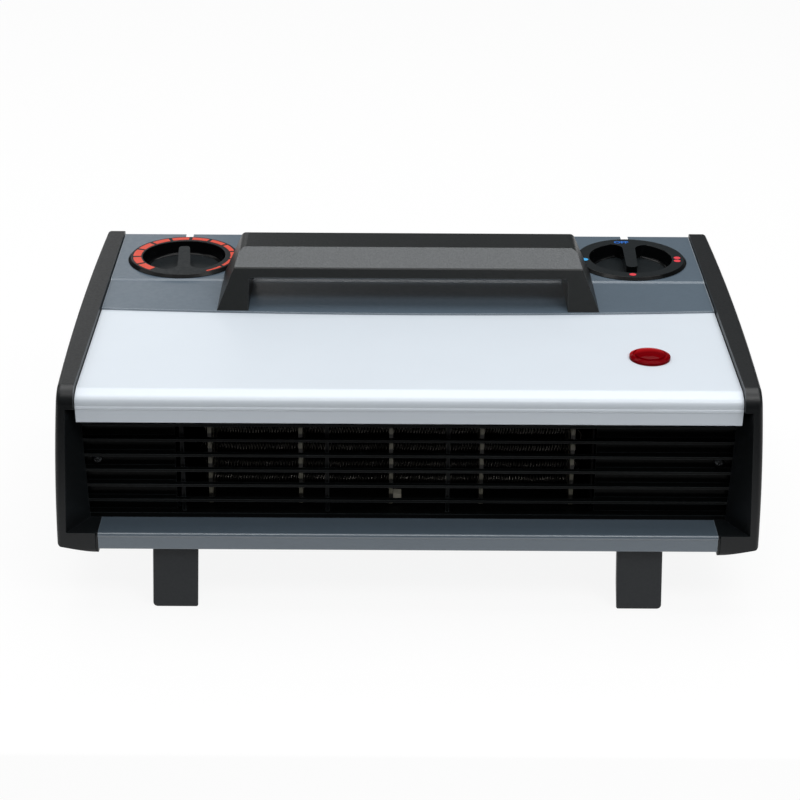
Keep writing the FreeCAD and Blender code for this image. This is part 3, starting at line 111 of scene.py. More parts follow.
# %% Node and colour helpers
def linear(code, gain=1.0):
    """Linear colour of an sRGB hex code, made lighter or darker by a gain."""
    levels = [int(code[i:i + 2], 16) / 255 for i in (1, 3, 5)]
    light = [v / 12.92 if v <= 0.04045 else ((v + 0.055) / 1.055) ** 2.4 for v in levels]
    return [min(v * gain, 1.0) for v in light] + [1.0]


def bare_tree(owner):
    """Empty node tree of a material or a world."""
    owner.use_nodes = True
    owner.node_tree.nodes.clear()
    return owner.node_tree


def add(tree, kind, settings=None, values=None, links=None):
    """Adds one node with its settings, its fixed socket values and its links."""
    made = tree.nodes.new(kind)
    for name, value in (settings or {}).items():
        setattr(made, name, value)
    for name, value in (values or {}).items():
        made.inputs[name].default_value = value
    for name, source in (links or {}).items():
        tree.links.new(source, made.inputs[name])
    return made


print("blue-grey in linear light:", [round(v, 3) for v in linear("#4F5D69")])

# %% [markdown]
# ## The start of every finish
# No real surface has one flat colour. Paint and plastic drift a little in shade over a hand's width, their
# gloss is uneven, a fine relief breaks the reflections, and handling rubs the edges paler. On the painted
# steel and the grille, that paler edge colour is also a painted highlight, a line of light drawn into the
# colour. This function sets up those four things from sizes in millimetres. The rubbed edges come from a
# Bevel node: where its rounded normal turns away from the true one, there is an edge, however large the
# triangles are.

# %% Shared surface
MOTTLE_MM = 45.0
EDGE_MM = 0.7
EDGE_SAMPLES = 4
NORMALS_AGREE = 0.99
NORMALS_APART = 0.8
GRAIN_LOW = 0.3
GRAIN_HIGH = 0.7
RELIEF_STRENGTH = 0.5
MOTTLE_DETAIL = 3.0
GRAIN_DETAIL = 2.0


def surface(name, code, roughness, grain_mm, relief_mm, wear_and_highlight=None, drift=0.08, uneven=0.05,
            edge_mm=EDGE_MM, edge_share=0.55, **fixed):
    """Material with drifting shade, uneven gloss, fine relief and paler edges: wear, on some finishes also
    painted highlight.
    """
    material = bpy.data.materials.new(name)
    tree = bare_tree(material)
    shader = add(tree, "ShaderNodeBsdfPrincipled", values=fixed)
    add(tree, "ShaderNodeOutputMaterial", links={"Surface": shader.outputs["BSDF"]})
    place = add(tree, "ShaderNodeTexCoord").outputs["Object"]
    broad = add(tree, "ShaderNodeTexNoise", values={"Scale": 1 / (MOTTLE_MM * MM), "Detail": MOTTLE_DETAIL},
                links={"Vector": place})
    grain = add(tree, "ShaderNodeTexNoise", values={"Scale": 1 / (grain_mm * MM), "Detail": GRAIN_DETAIL},
                links={"Vector": place})
    shade = add(tree, "ShaderNodeMixRGB",
                values={"Color1": linear(code, 1 - drift), "Color2": linear(code, 1 + drift)},
                links={"Fac": broad.outputs["Fac"]})
    colour = shade.outputs["Color"]
    if wear_and_highlight:
        rounded = add(tree, "ShaderNodeBevel", {"samples": EDGE_SAMPLES}, {"Radius": edge_mm * MM})
        true = add(tree, "ShaderNodeNewGeometry")
        agree = add(tree, "ShaderNodeVectorMath", {"operation": "DOT_PRODUCT"},
                    links={0: rounded.outputs["Normal"], 1: true.outputs["Normal"]})
        edge = add(tree, "ShaderNodeMapRange",
                   values={"From Min": NORMALS_AGREE, "From Max": NORMALS_APART, "To Max": edge_share},
                   links={"Value": agree.outputs["Value"]})
        patchy = add(tree, "ShaderNodeMath", {"operation": "MULTIPLY"},
                     links={0: edge.outputs["Result"], 1: broad.outputs["Fac"]})
        edge_wear_and_highlight = add(tree, "ShaderNodeMixRGB", values={"Color2": linear(wear_and_highlight)},
                     links={"Fac": patchy.outputs["Value"], "Color1": colour})
        colour = edge_wear_and_highlight.outputs["Color"]
    gloss = add(tree, "ShaderNodeMapRange",
                values={"From Min": GRAIN_LOW, "From Max": GRAIN_HIGH, "To Min": roughness - uneven,
                        "To Max": roughness + uneven},
                links={"Value": grain.outputs["Fac"]})
    bump = add(tree, "ShaderNodeBump", values={"Strength": RELIEF_STRENGTH, "Distance": relief_mm * MM},
               links={"Height": grain.outputs["Fac"]})
    tree.links.new(colour, shader.inputs["Base Color"])
    tree.links.new(gloss.outputs["Result"], shader.inputs["Roughness"])
    tree.links.new(bump.outputs["Normal"], shader.inputs["Normal"])
    return material


def dress(material, *names):
    """Puts a finish on CAD nodes."""
    for name in names:
        nodes[name].data.materials.clear()
        nodes[name].data.materials.append(material)
    print(material.name, "on", ", ".join(names))


print("finishes rub within", EDGE_MM, "mm of an edge and drift over", MOTTLE_MM, "mm")

# %% [markdown]
# ## Painted sheet steel
# The top, trim, back and base are folded steel, sprayed with a blue-grey paint and stoved. Stoving leaves a
# shallow orange peel of about 3 mm waves, which softens reflections without hiding them. Paint binder has
# an index of about 1.5. A thin clear layer gives the sheen on the top's left side, and the trim's full
# gloss layer draws a bright line along its rolled edge. The near-white edge colour is partly wear and
# partly a painted highlight, drawn along the crease across the top and along the trim's edges.

# %% Blue-grey stoved paint
blue_grey_paint = surface(
    "blue_grey_stoved_paint", "#4F5D69", roughness=0.34, grain_mm=3.0, relief_mm=0.010, wear_and_highlight="#E6EDF2",
    drift=0.05, edge_mm=1.4, edge_share=0.65, **{"IOR": 1.5, "Coat Weight": 0.25, "Coat Roughness": 0.18})
dress(blue_grey_paint, "top_cover", "back_panel", "base_pan")
trim_paint = surface(
    "blue_grey_gloss_paint", "#505D68", roughness=0.34, grain_mm=3.0, relief_mm=0.006, wear_and_highlight="#C4CED6",
    drift=0.05, **{"IOR": 1.5, "Coat Weight": 1.0, "Coat Roughness": 0.08})
dress(trim_paint, "front_trim")

# %% [markdown]
# The sloping front is sprayed silver: fine aluminium flake under a lacquer. A fully metallic shader would
# mirror the dark set and look like foil. Fine flake lies at all angles and scatters most of its light, so
# the paint is a pale colour with only a trace of metal. The lacquer is thin, so its gloss stays weak.

# %% Silver flake lacquer
silver_lacquer = surface(
    "silver_flake_lacquer", "#D1D9E1", roughness=0.34, grain_mm=5.0, relief_mm=0.003, wear_and_highlight="#F0F4F8",
    drift=0.02, uneven=0.02, **{"Metallic": 0.03, "IOR": 1.5, "Specular IOR Level": 0.42,
                                "Coat Weight": 0.15, "Coat Roughness": 0.12})
dress(silver_lacquer, "front_panel")

# %% [markdown]
# ## Moulded plastics
# Caps, grille, handle, knobs and feet are injection-moulded. ABS and polypropylene take the texture of
# the steel mould: spark erosion gives the caps a fine satin, polish gives the knobs a deeper black. The
# true grain is about 0.3 mm, finer than a picture point, so it is drawn near 1 mm to show at all.

# %% Cap, grille and foot plastics
cap_abs = surface(
    "spark_eroded_black_abs", "#0D1012", roughness=0.40, grain_mm=1.1, relief_mm=0.030, wear_and_highlight="#3A4042",
    **{"IOR": 1.53, "Specular IOR Level": 0.32})
dress(cap_abs, "left_end_cap", "right_end_cap")
# The grille's black is darker than the caps': a painted shade for the deep shadow behind the louvres. Its
# paler edge colour is a painted highlight along the slats' front edges, partly wear.
grille_abs = surface(
    "satin_black_abs", "#030404", roughness=0.40, grain_mm=1.2, relief_mm=0.020, wear_and_highlight="#50575A",
    **{"IOR": 1.53, "Specular IOR Level": 0.12})
dress(grille_abs, "outlet_grille")
foot_pp = surface(
    "matt_black_polypropylene", "#1F2225", roughness=0.55, grain_mm=1.4, relief_mm=0.040, wear_and_highlight="#4D5052",
    **{"IOR": 1.49, "Specular IOR Level": 0.35})
dress(foot_pp, "foot_front_left", "foot_front_right", "foot_rear_left", "foot_rear_right")

# %% [markdown]
# Some finishes differ from place to place on one piece. Two helpers build on what a finish already has. The
# first gives whatever feeds one of its shader's sockets so far, and the second lays another colour over it.

# %% Building on a finish
def fed_by(shader, socket):
    """What feeds a shader's socket so far."""
    return shader.inputs[socket].links[0].from_socket


def lay_over(tree, shader, share, colour):
    """Lays a colour, given by a socket or a hex code, over a finish by a share from 0 to 1."""
    mix = add(tree, "ShaderNodeMixRGB", links={"Fac": share, "Color1": fed_by(shader, "Base Color")})
    if isinstance(colour, str):
        mix.inputs["Color2"].default_value = linear(colour)
    else:
        tree.links.new(colour, mix.inputs["Color2"])
    tree.links.new(mix.outputs["Color"], shader.inputs["Base Color"])


cap_shader = cap_abs.node_tree.nodes["Principled BSDF"]
print("the caps' colour is fed by a node named", fed_by(cap_shader, "Base Color").node.name)

# %% [markdown]
# The handle is the same ABS, but the tilted facet that the fingers meet was etched with a leather grain.
# Grain scatters the overhead light, so this facet looks much paler than the smooth faces beside it. That
# paleness is painted into the facet's colour as a painted sheen, broken up by the grain. Only that facet
# faces both up and forward, so its normal picks it out.

# %% Grained grip
FACET_NORMAL = (0.0, -0.388, 0.921)
OFF_FACET = 0.975
ON_FACET = 0.99
GRAIN_MM = 1.3
GRAIN_DEPTH_MM = 0.15
GRAIN_STRENGTH = 0.6
RIDGE_AT = 0.7
VALLEY_DARK = 0.85
RIDGE_PALE = 1.15

grip_abs = surface(
    "etched_grip_abs", "#0C1011", roughness=0.40, grain_mm=1.0, relief_mm=0.020, wear_and_highlight="#4A4F50",
    **{"IOR": 1.53, "Specular IOR Level": 0.32})
tree = grip_abs.node_tree
shader = tree.nodes["Principled BSDF"]
true = add(tree, "ShaderNodeNewGeometry")
facing = add(tree, "ShaderNodeVectorMath", {"operation": "DOT_PRODUCT"}, {1: FACET_NORMAL},
             {0: true.outputs["Normal"]})
on_facet = add(tree, "ShaderNodeMapRange", values={"From Min": OFF_FACET, "From Max": ON_FACET},
               links={"Value": facing.outputs["Value"]})
place = add(tree, "ShaderNodeTexCoord").outputs["Object"]
cells = add(tree, "ShaderNodeTexVoronoi", {"feature": "F1"}, {"Scale": 1 / (GRAIN_MM * MM)},
            {"Vector": place})
valley = add(tree, "ShaderNodeMapRange",
             values={"From Max": RIDGE_AT, "To Min": VALLEY_DARK, "To Max": RIDGE_PALE},
             links={"Value": cells.outputs["Distance"]})
# The facet's pale grey is a painted sheen, darker in the grain's valleys.
grain_and_painted_sheen = add(tree, "ShaderNodeMixRGB", {"blend_type": "MULTIPLY"}, {"Fac": 1.0, "Color1": linear("#424547")},
           {"Color2": valley.outputs["Result"]})
lay_over(tree, shader, on_facet.outputs["Result"], grain_and_painted_sheen.outputs["Color"])
depth = add(tree, "ShaderNodeMath", {"operation": "MULTIPLY"},
            links={0: cells.outputs["Distance"], 1: on_facet.outputs["Result"]})
leather = add(tree, "ShaderNodeBump", values={"Strength": GRAIN_STRENGTH, "Distance": GRAIN_DEPTH_MM * MM},
              links={"Height": depth.outputs["Value"], "Normal": fed_by(shader, "Normal")})
tree.links.new(leather.outputs["Normal"], shader.inputs["Normal"])
dress(grip_abs, "handle")

# %% [markdown]
# The knobs were moulded in polished steel, so their sides are a deep glossy black. Their level faces, the
# ring, the bar and the dish's floor, were left satin so that print holds and fingers don't slip. They are
# rougher, and their lighter grey is a painted sheen for the light that the satin scatters. A normal that
# points straight up picks the level faces out, also when the dial has turned.

# %% Knob plastic
LEVEL_FROM = 0.97
LEVEL_FULL = 0.995
SATIN_ROUGHER = 0.22

knob_abs = surface(
    "polished_black_abs", "#060708", roughness=0.16, grain_mm=2.5, relief_mm=0.006, wear_and_highlight="#181A1B",
    **{"IOR": 1.53, "Specular IOR Level": 0.12})
tree = knob_abs.node_tree
shader = tree.nodes["Principled BSDF"]
true = add(tree, "ShaderNodeNewGeometry")
upward = add(tree, "ShaderNodeSeparateXYZ", links={0: true.outputs["Normal"]})
level = add(tree, "ShaderNodeMapRange", values={"From Min": LEVEL_FROM, "From Max": LEVEL_FULL},
            links={"Value": upward.outputs["Z"]})
# The level faces' lighter grey is a painted sheen; their extra roughness is the real satin.
lay_over(tree, shader, level.outputs["Result"], "#181C1E")
matt = add(tree, "ShaderNodeMath", {"operation": "MULTIPLY_ADD"}, {1: SATIN_ROUGHER},
           {0: level.outputs["Result"], 2: fed_by(shader, "Roughness")})
tree.links.new(matt.outputs["Value"], shader.inputs["Roughness"])
dress(knob_abs, "thermostat_knob", "selector_knob")

# %% [markdown]
# The indicator lens is tinted polycarbonate over a neon lamp. It passes some light, so its dome is deep red
# where one looks into it. Its rear slope is painted a brighter red, a painted glow for the light that comes
# through the dome. The index is set below the usual 1.58, because this smooth dome would mirror the soft
# boxes as one pale veil.

# %% Lens and lamp
PAINTED_GLOW_FROM = -0.05
PAINTED_GLOW_FULL = 0.3

lens_pc = surface(
    "tinted_red_polycarbonate", "#7E0009", roughness=0.07, grain_mm=2.0, relief_mm=0.004, drift=0.15,
    uneven=0.03, **{"IOR": 1.1, "Specular IOR Level": 0.3, "Transmission Weight": 0.4})
tree = lens_pc.node_tree
shader = tree.nodes["Principled BSDF"]
true = add(tree, "ShaderNodeNewGeometry")
facing = add(tree, "ShaderNodeSeparateXYZ", links={0: true.outputs["Normal"]})
painted_rear_glow = add(tree, "ShaderNodeMapRange", values={"From Min": PAINTED_GLOW_FROM, "From Max": PAINTED_GLOW_FULL},
               links={"Value": facing.outputs["Y"]})
# Painted light: the rear-facing slope is painted a brighter red.
lay_over(tree, shader, painted_rear_glow.outputs["Result"], "#E8141C")
dress(lens_pc, "neon_lens")
lamp_glass = surface(
    "drawn_soda_glass", "#E6DCCB", roughness=0.06, grain_mm=4.0, relief_mm=0.010, uneven=0.02,
    **{"IOR": 1.52, "Transmission Weight": 0.85})
dress(lamp_glass, "neon_lamp")

# %% [markdown]
# ## Metals inside
# Brackets and shaft are zinc-plated steel, whose crystals give a mottled bright grey. The duct, scroll and
# rails beside the coils are dull steel, painted nearly black as a painted shade for the deep shadow inside
# the case. The wheel is bright rolled aluminium, and the nuts and the wheel's bush are turned from brass. A
# metal keeps the default index, and its colour is its reflectance.

# %% Plain metals
zinc_steel = surface(
    "zinc_plated_steel", "#B3B5B5", roughness=0.34, grain_mm=4.0, relief_mm=0.010, wear_and_highlight="#D8DADA",
    drift=0.15, **{"Metallic": 1.0})
dress(zinc_steel, "thermostat_spindle", "selector_spindle", "thermostat_bracket", "selector_bracket",
      "neon_clip", "motor_shaft", "motor_rotor", "inner_motor_bracket", "outer_motor_bracket")
# Nearly black: a painted shade for the shadow deep inside the case.
shade_darkened_steel = surface(
    "shade_darkened_steel", "#1C1C1C", roughness=0.55, grain_mm=5.0, relief_mm=0.015, drift=0.25,
    **{"Metallic": 1.0})
dress(shade_darkened_steel, "left_duct_wall", "right_duct_wall", "blower_scroll", "blower_tongue",
      "element_rails")
rolled_aluminium = surface(
    "rolled_aluminium", "#BDBFC0", roughness=0.30, grain_mm=2.5, relief_mm=0.008, wear_and_highlight="#DDDEDE",
    **{"Metallic": 1.0})
dress(rolled_aluminium, "blower_wheel")
turned_brass = surface(
    "turned_brass", "#B89A55", roughness=0.28, grain_mm=2.0, relief_mm=0.008, wear_and_highlight="#D9C48C",
    **{"Metallic": 1.0})
dress(turned_brass, "control_nuts", "wheel_bush")

# %% [markdown]
# Two metals have a direction. The stator's sheets are 0.5 mm thick and the copper wire 0.4 mm, and both are
# drawn as bands of about 1 mm so that they can be told apart in a close view. At a scale of one, a Wave
# node draws about 3.2 bands to the unit, so the scale is divided by that.

# %% Banded metals
WAVES_PER_UNIT = 3.2
BAND_DEPTH_MM = 0.2
BAND_STRENGTH = 0.6
SHEET_BAND_MM = 1.0
WIRE_BAND_MM = 0.9


def banded(material, axis, band_mm, dark):
    """Darkens a finish in even bands across one axis, as stacked sheets or wound wire look."""
    tree = material.node_tree
    shader = tree.nodes["Principled BSDF"]
    place = add(tree, "ShaderNodeTexCoord").outputs["Object"]
    bands = add(tree, "ShaderNodeTexWave", {"bands_direction": axis},
                {"Scale": 1 / (band_mm * MM * WAVES_PER_UNIT)}, {"Vector": place})
    darkened = add(tree, "ShaderNodeMixRGB", {"blend_type": "MULTIPLY"}, {"Color2": linear(dark)},
                   {"Fac": bands.outputs["Fac"], "Color1": fed_by(shader, "Base Color")})
    tree.links.new(darkened.outputs["Color"], shader.inputs["Base Color"])
    ridge = add(tree, "ShaderNodeBump", values={"Strength": BAND_STRENGTH, "Distance": BAND_DEPTH_MM * MM},
                links={"Height": bands.outputs["Fac"], "Normal": fed_by(shader, "Normal")})
    tree.links.new(ridge.outputs["Normal"], shader.inputs["Normal"])
    return material


stack_steel = surface(
    "stacked_electrical_steel", "#77797B", roughness=0.42, grain_mm=3.0, relief_mm=0.010,
    **{"Metallic": 1.0})
dress(banded(stack_steel, "X", SHEET_BAND_MM, "#8A8A8A"), "motor_stator")
enamelled_copper = surface(
    "enamelled_copper_wire", "#B5673A", roughness=0.30, grain_mm=2.0, relief_mm=0.010,
    **{"Metallic": 1.0})
dress(banded(enamelled_copper, "X", WIRE_BAND_MM, "#7A4A30"), "motor_coil")

# %% [markdown]
# ## Insulators
# Mica is split into sheets and bonded, and its flakes show as paler patches a few millimetres wide. The
# cards are painted darker in bands up their height, a painted shade where the louvres shade them. The
# cosine of the height, with the louvres' pitch as its period, places the bands.

# %% Mica
SHADE_BAND_PITCH_MM = 9.3
SHADE_BAND_AT_MM = 67.6
SHADED_BELOW = 0.1
LIT_ABOVE = 0.7

mica_sheet = surface(
    "bonded_mica_sheet", "#7A776A", roughness=0.45, grain_mm=2.2, relief_mm=0.040, wear_and_highlight="#8E8C7E",
    drift=0.25, **{"IOR": 1.58, "Specular IOR Level": 0.4})
tree = mica_sheet.node_tree
shader = tree.nodes["Principled BSDF"]
place = add(tree, "ShaderNodeTexCoord").outputs["Object"]
height = add(tree, "ShaderNodeSeparateXYZ", links={0: place})
phase = add(tree, "ShaderNodeMath", {"operation": "MULTIPLY_ADD"},
            {1: math.tau / (SHADE_BAND_PITCH_MM * MM), 2: -math.tau * SHADE_BAND_AT_MM / SHADE_BAND_PITCH_MM},
            {0: height.outputs["Z"]})
band_wave = add(tree, "ShaderNodeMath", {"operation": "COSINE"}, links={0: phase.outputs["Value"]})
painted_band_shade = add(tree, "ShaderNodeMapRange",
              values={"From Min": SHADED_BELOW, "From Max": LIT_ABOVE, "To Min": 1.0, "To Max": 0.0},
              links={"Value": band_wave.outputs["Value"]})
# Painted shade: the cards darken in bands between the lit strips.
lay_over(tree, shader, painted_band_shade.outputs["Result"], "#1E1D1A")
dress(mica_sheet, "mica_cards")

# %% [markdown]
# The cut-out's ceramic is fired unglazed, so it is pale and dry. The switch shells are moulded phenolic, a
# hard brown plastic that stands heat, and the gland is soft rubber, dull and almost without gloss.

# %% Ceramic, phenolic and rubber
steatite = surface(
    "fired_steatite", "#A8A497", roughness=0.5, grain_mm=1.2, relief_mm=0.020, **{"IOR": 1.6})
dress(steatite, "thermal_cutout")
phenolic = surface(
    "moulded_phenolic", "#3A2A22", roughness=0.42, grain_mm=1.5, relief_mm=0.020, wear_and_highlight="#6B5648",
    **{"IOR": 1.6})
dress(phenolic, "thermostat_body", "selector_switch", "terminal_block")
gland_rubber = surface(
    "moulded_black_rubber", "#1A1A1A", roughness=0.6, grain_mm=1.2, relief_mm=0.040, wear_and_highlight="#3A3A3A",
    **{"IOR": 1.52, "Specular IOR Level": 0.3})
dress(gland_rubber, "cord_gland")

# %% [markdown]
# ## Pieces of mesh
# A few pieces are better as meshes than as solids. One helper gives a mesh its finish, shades its gentle
# angles smooth and lets it ride on a body of the frame. Another measures the separate solids of a CAD node,
# so that the new pieces take their places from the frame.

# %% Mesh helpers
SMOOTH_ANGLE = math.radians(35)
WELD_MM = 0.001


def piece(name, mesh, material, body):
    """Object from a mesh, with its finish and the body it moves with."""
    mesh.materials.clear()
    mesh.materials.append(material)
    mesh.shade_smooth()
    mesh.set_sharp_from_angle(angle=SMOOTH_ANGLE)
    made = bpy.data.objects.new(name, mesh)
    scene.collection.objects.link(made)
    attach(made, body)
    print(name, "has", len(mesh.polygons), "faces and rides on", body)
    return made


def mesh_from(work, name):
    """Finished mesh from a working one, which is let go."""
    mesh = bpy.data.meshes.new(name)
    work.to_mesh(mesh)
    work.free()
    return mesh


def islands(name):
    """Boxes of the separate solids in one CAD node, as lowest and highest corners, from left to right."""
    work = bmesh.new()
    work.from_mesh(nodes[name].data)
    bmesh.ops.remove_doubles(work, verts=work.verts, dist=WELD_MM * MM)
    left = set(work.verts)
    boxes = []
    while left:
        group = [left.pop()]
        for vert in group:
            for edge in vert.link_edges:
                other = edge.other_vert(vert)
                if other in left:
                    left.discard(other)
                    group.append(other)
        axes = list(zip(*(vert.co for vert in group)))
        boxes.append((Vector([min(a) for a in axes]), Vector([max(a) for a in axes])))
    work.free()
    return sorted(boxes, key=lambda box: tuple(box[0]))


coil_boxes = sorted(islands("heater_coils"), key=lambda box: box[0].z)
card_xs = sorted((low.x + high.x) / 2 for low, high in islands("mica_cards"))
print(len(coil_boxes), "rows of coil pass through", len(card_xs), "mica cards")

# %% [markdown]
# ## Heating coils
# One resistance wire is wound into a close helix, threaded to and fro through the mica cards, and sags a
# little between them. Hundreds of close turns are heavy work for a solid modeller, so the solids only mark
# the wire's room with open turns. Here the path of each row is worked out turn by turn. No winding is
# perfectly even, so each turn is stretched or pressed by chance, from a seed that gives the same wire in
# every run.

# %% Path of a row
COIL_RADIUS_MM = 1.9
COIL_PITCH_MM = 1.6
COIL_SAG_MM = 0.7
STEPS_PER_TURN = 10
STRETCH_LEAST = 0.82
STRETCH_MOST = 1.18
SEED = 7

chance = random.Random(SEED)


def sag_at(x):
    """How far the wire hangs below its holes, at a place along the row."""
    for start, end in zip(card_xs, card_xs[1:]):
        if start <= x <= end:
            return COIL_SAG_MM * MM * math.sin(math.pi * (x - start) / (end - start))
    return 0.0


def coil_row(box):
    """Points of one row of helix, from left to right."""
    low, high = box
    middle_y = (low.y + high.y) / 2
    middle_z = (low.z + high.z) / 2
    turns = int((high.x - low.x) / (COIL_PITCH_MM * MM))
    points = []
    x = low.x
    for i in range(turns * STEPS_PER_TURN + 1):
        angle = 2 * math.pi * i / STEPS_PER_TURN
        if i % STEPS_PER_TURN == 0:
            stretch = chance.uniform(STRETCH_LEAST, STRETCH_MOST)
        points.append(Vector((x, middle_y + COIL_RADIUS_MM * MM * math.sin(angle),
                              middle_z - sag_at(x) + COIL_RADIUS_MM * MM * math.cos(angle))))
        x = min(x + stretch * COIL_PITCH_MM * MM / STEPS_PER_TURN, high.x)
    return points


rows = [coil_row(box) for box in coil_boxes]
print("points in each row:", [len(row) for row in rows])

# %% [markdown]
# The rows are joined to and fro into one path, with a bare loop at each end. A curve follows that path, and
# its bevel gives the wire its thickness.

# %% Wound resistance wire
WIRE_MM = 0.45
LOOP_STEPS = 8
LOOP_MM = 3.0

wire_points = []
for i, row in enumerate(rows):
    if i % 2:
        row.reverse()
    if wire_points:
        start = wire_points[-1]
        outward = 1 if i % 2 else -1
        for k in range(1, LOOP_STEPS):
            share = k / LOOP_STEPS
            bulge = math.sin(math.pi * share) * LOOP_MM * MM * outward
            wire_points.append(start.lerp(row[0], share) + Vector((bulge, 0, 0)))
    wire_points += row
wire = bpy.data.curves.new("wire", "CURVE")
wire.dimensions = "3D"
wire.bevel_depth = WIRE_MM * MM / 2
wire.bevel_resolution = 1
spline = wire.splines.new("POLY")
spline.points.add(len(wire_points) - 1)
for point, place in zip(spline.points, wire_points):
    point.co = (*place, 1.0)
wire_object = bpy.data.objects.new("wire", wire)
scene.collection.objects.link(wire_object)
coil_mesh = bpy.data.meshes.new_from_object(wire_object)
bpy.data.objects.remove(wire_object)

resistance_wire = surface(
    "oxidised_nickel_chrome_wire", "#807D78", roughness=0.38, grain_mm=3.0, relief_mm=0.010, drift=0.25,
    **{"Metallic": 1.0})
coils = piece("wound_heating_wire", coil_mesh, resistance_wire, "case")
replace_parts(coils, "heater_coils")

# %% [markdown]
# ## Screws
# The solids' screws are plain pan heads. A cross recess is what makes one read as a screw, so each node of
# screws is replaced by turned heads with a cross cut into them. A lathe outline is spun, and a boolean with
# two tapered bars cuts the recess.

# %% One cross-head screw
HEAD_STEPS = 32
HEAD_RADIUS_MM = 3.0
HEAD_HEIGHT_MM = 2.0
HEAD_DOME_MM = [(0.0, 0.0), (1.6, -0.12), (2.4, -0.42), (2.9, -1.0), (HEAD_RADIUS_MM, -1.4)]
SHANK_RADIUS_MM = 1.5
SHANK_MM = 10.0
POINT_MM = 1.0
TIP_RADIUS_MM = 0.4
SPIN_WELD_MM = 0.005
RECESS_WIDTH_MM = 0.9
RECESS_REACH_MM = 1.7
RECESS_DEPTH_MM = 1.2
RECESS_TAPER = 0.6
RECESS_ABOVE_MM = 0.5


def turned_screw():
    """Screw along +Z without its recess: the head's top at zero and the point of the shank below."""
    end = -HEAD_HEIGHT_MM - SHANK_MM
    outline = HEAD_DOME_MM + [(HEAD_RADIUS_MM, -HEAD_HEIGHT_MM), (SHANK_RADIUS_MM, -HEAD_HEIGHT_MM),
                              (SHANK_RADIUS_MM, end + POINT_MM), (TIP_RADIUS_MM, end), (0.0, end)]
    work = bmesh.new()
    verts = [work.verts.new((r * MM, 0, z * MM)) for r, z in outline]
    line = [work.edges.new(pair) for pair in zip(verts, verts[1:])]
    bmesh.ops.spin(work, geom=verts + line, axis=(0, 0, 1), cent=(0, 0, 0), steps=HEAD_STEPS,
                   angle=2 * math.pi)
    bmesh.ops.remove_doubles(work, verts=work.verts, dist=SPIN_WELD_MM * MM)
    bmesh.ops.recalc_face_normals(work, faces=work.faces)
    return mesh_from(work, "screw")


def cross_cutter():
    """Two crossed bars that narrow downwards."""
    work = bmesh.new()
    for across, along in ((RECESS_REACH_MM, RECESS_WIDTH_MM / 2), (RECESS_WIDTH_MM / 2, RECESS_REACH_MM)):
        for vert in bmesh.ops.create_cube(work, size=1.0)["verts"]:
            taper = 1.0 if vert.co.z > 0 else RECESS_TAPER
            height = RECESS_ABOVE_MM if vert.co.z > 0 else -RECESS_DEPTH_MM
            vert.co = Vector((math.copysign(across * taper, vert.co.x),
                              math.copysign(along * taper, vert.co.y), height)) * MM
    return mesh_from(work, "cross")


def screw_mesh():
    """One finished screw."""
    head = bpy.data.objects.new("screw", turned_screw())
    tool = bpy.data.objects.new("cross", cross_cutter())
    scene.collection.objects.link(head)
    scene.collection.objects.link(tool)
    cut = head.modifiers.new("recess", "BOOLEAN")
    cut.object = tool
    cut.operation = "DIFFERENCE"
    cut.solver = "EXACT"
    cut.use_self = True
    bpy.context.view_layer.update()
    done = bpy.data.meshes.new_from_object(head.evaluated_get(bpy.context.evaluated_depsgraph_get()))
    bpy.data.objects.remove(head)
    bpy.data.objects.remove(tool)
    return done


blank = screw_mesh()
print("a screw has", len(blank.polygons), "faces")

# %% [markdown]
# Each head is laid where the solid's head is, and faces down or forward. Nobody lines up the slots of
# screws, so each one is spun by chance.

# %% Screws in place
FROM_BELOW = Matrix.Rotation(math.pi, 4, "X")
FROM_FRONT = Matrix.Rotation(math.pi / 2, 4, "X")

black_screw = surface(
    "blackened_steel", "#3C3E40", roughness=0.35, grain_mm=1.0, relief_mm=0.010, wear_and_highlight="#8A8C8E",
    **{"Metallic": 1.0})


def screws(name, node, facing):
    """Replaces a node of screws by cross-head ones."""
    work = bmesh.new()
    for low, high in islands(node):
        seat = (low + high) / 2
        if facing is FROM_BELOW:
            seat.z = low.z
        else:
            seat.y = low.y
        spin = Matrix.Rotation(chance.uniform(0, math.pi / 2), 4, "Z")
        copy = blank.copy()
        copy.transform(Matrix.Translation(seat) @ facing @ spin)
        work.from_mesh(copy)
        bpy.data.meshes.remove(copy)
    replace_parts(piece(name, mesh_from(work, name), black_screw, "case"), node)


screws("grille_cross_screws", "grille_screws", FROM_FRONT)
for name in ("handle", "cap", "foot"):
    screws(name + "_cross_screws", name + "_screws", FROM_BELOW)

# %% [markdown]
# ## Printed marks
# The dials are pad-printed. A pattern in the knob's shader could draw the marks, but thin sheets keep a
# sharp edge in any view and can be measured. Each mark is a closed sheet a few hundredths of a millimetre
# thick, just clear of the plastic, and it rides on its dial, so that it turns with it.

# %% Inks and ink sheets
INK_MM = 0.05
INK_LIFT_MM = 0.02


def ink_sheet(outlines, top_z):
    """Closed thin sheets from flat outlines, each a list of (x, y) in metres, on a level surface."""
    work = bmesh.new()
    for outline in outlines:
        face = work.faces.new([work.verts.new((x, y, top_z + INK_LIFT_MM * MM)) for x, y in outline])
        raised = bmesh.ops.extrude_face_region(work, geom=[face])["geom"]
        bmesh.ops.translate(work, vec=(0, 0, INK_MM * MM),
                            verts=[item for item in raised if isinstance(item, bmesh.types.BMVert)])
    bmesh.ops.recalc_face_normals(work, faces=work.faces)
    return mesh_from(work, "ink")


def ink(name, code):
    """Pad-printing ink: satin, a little thin in places."""
    return surface(name, code, roughness=0.42, grain_mm=1.2, relief_mm=0.010, drift=0.12,
                   **{"IOR": 1.5, "Specular IOR Level": 0.4})


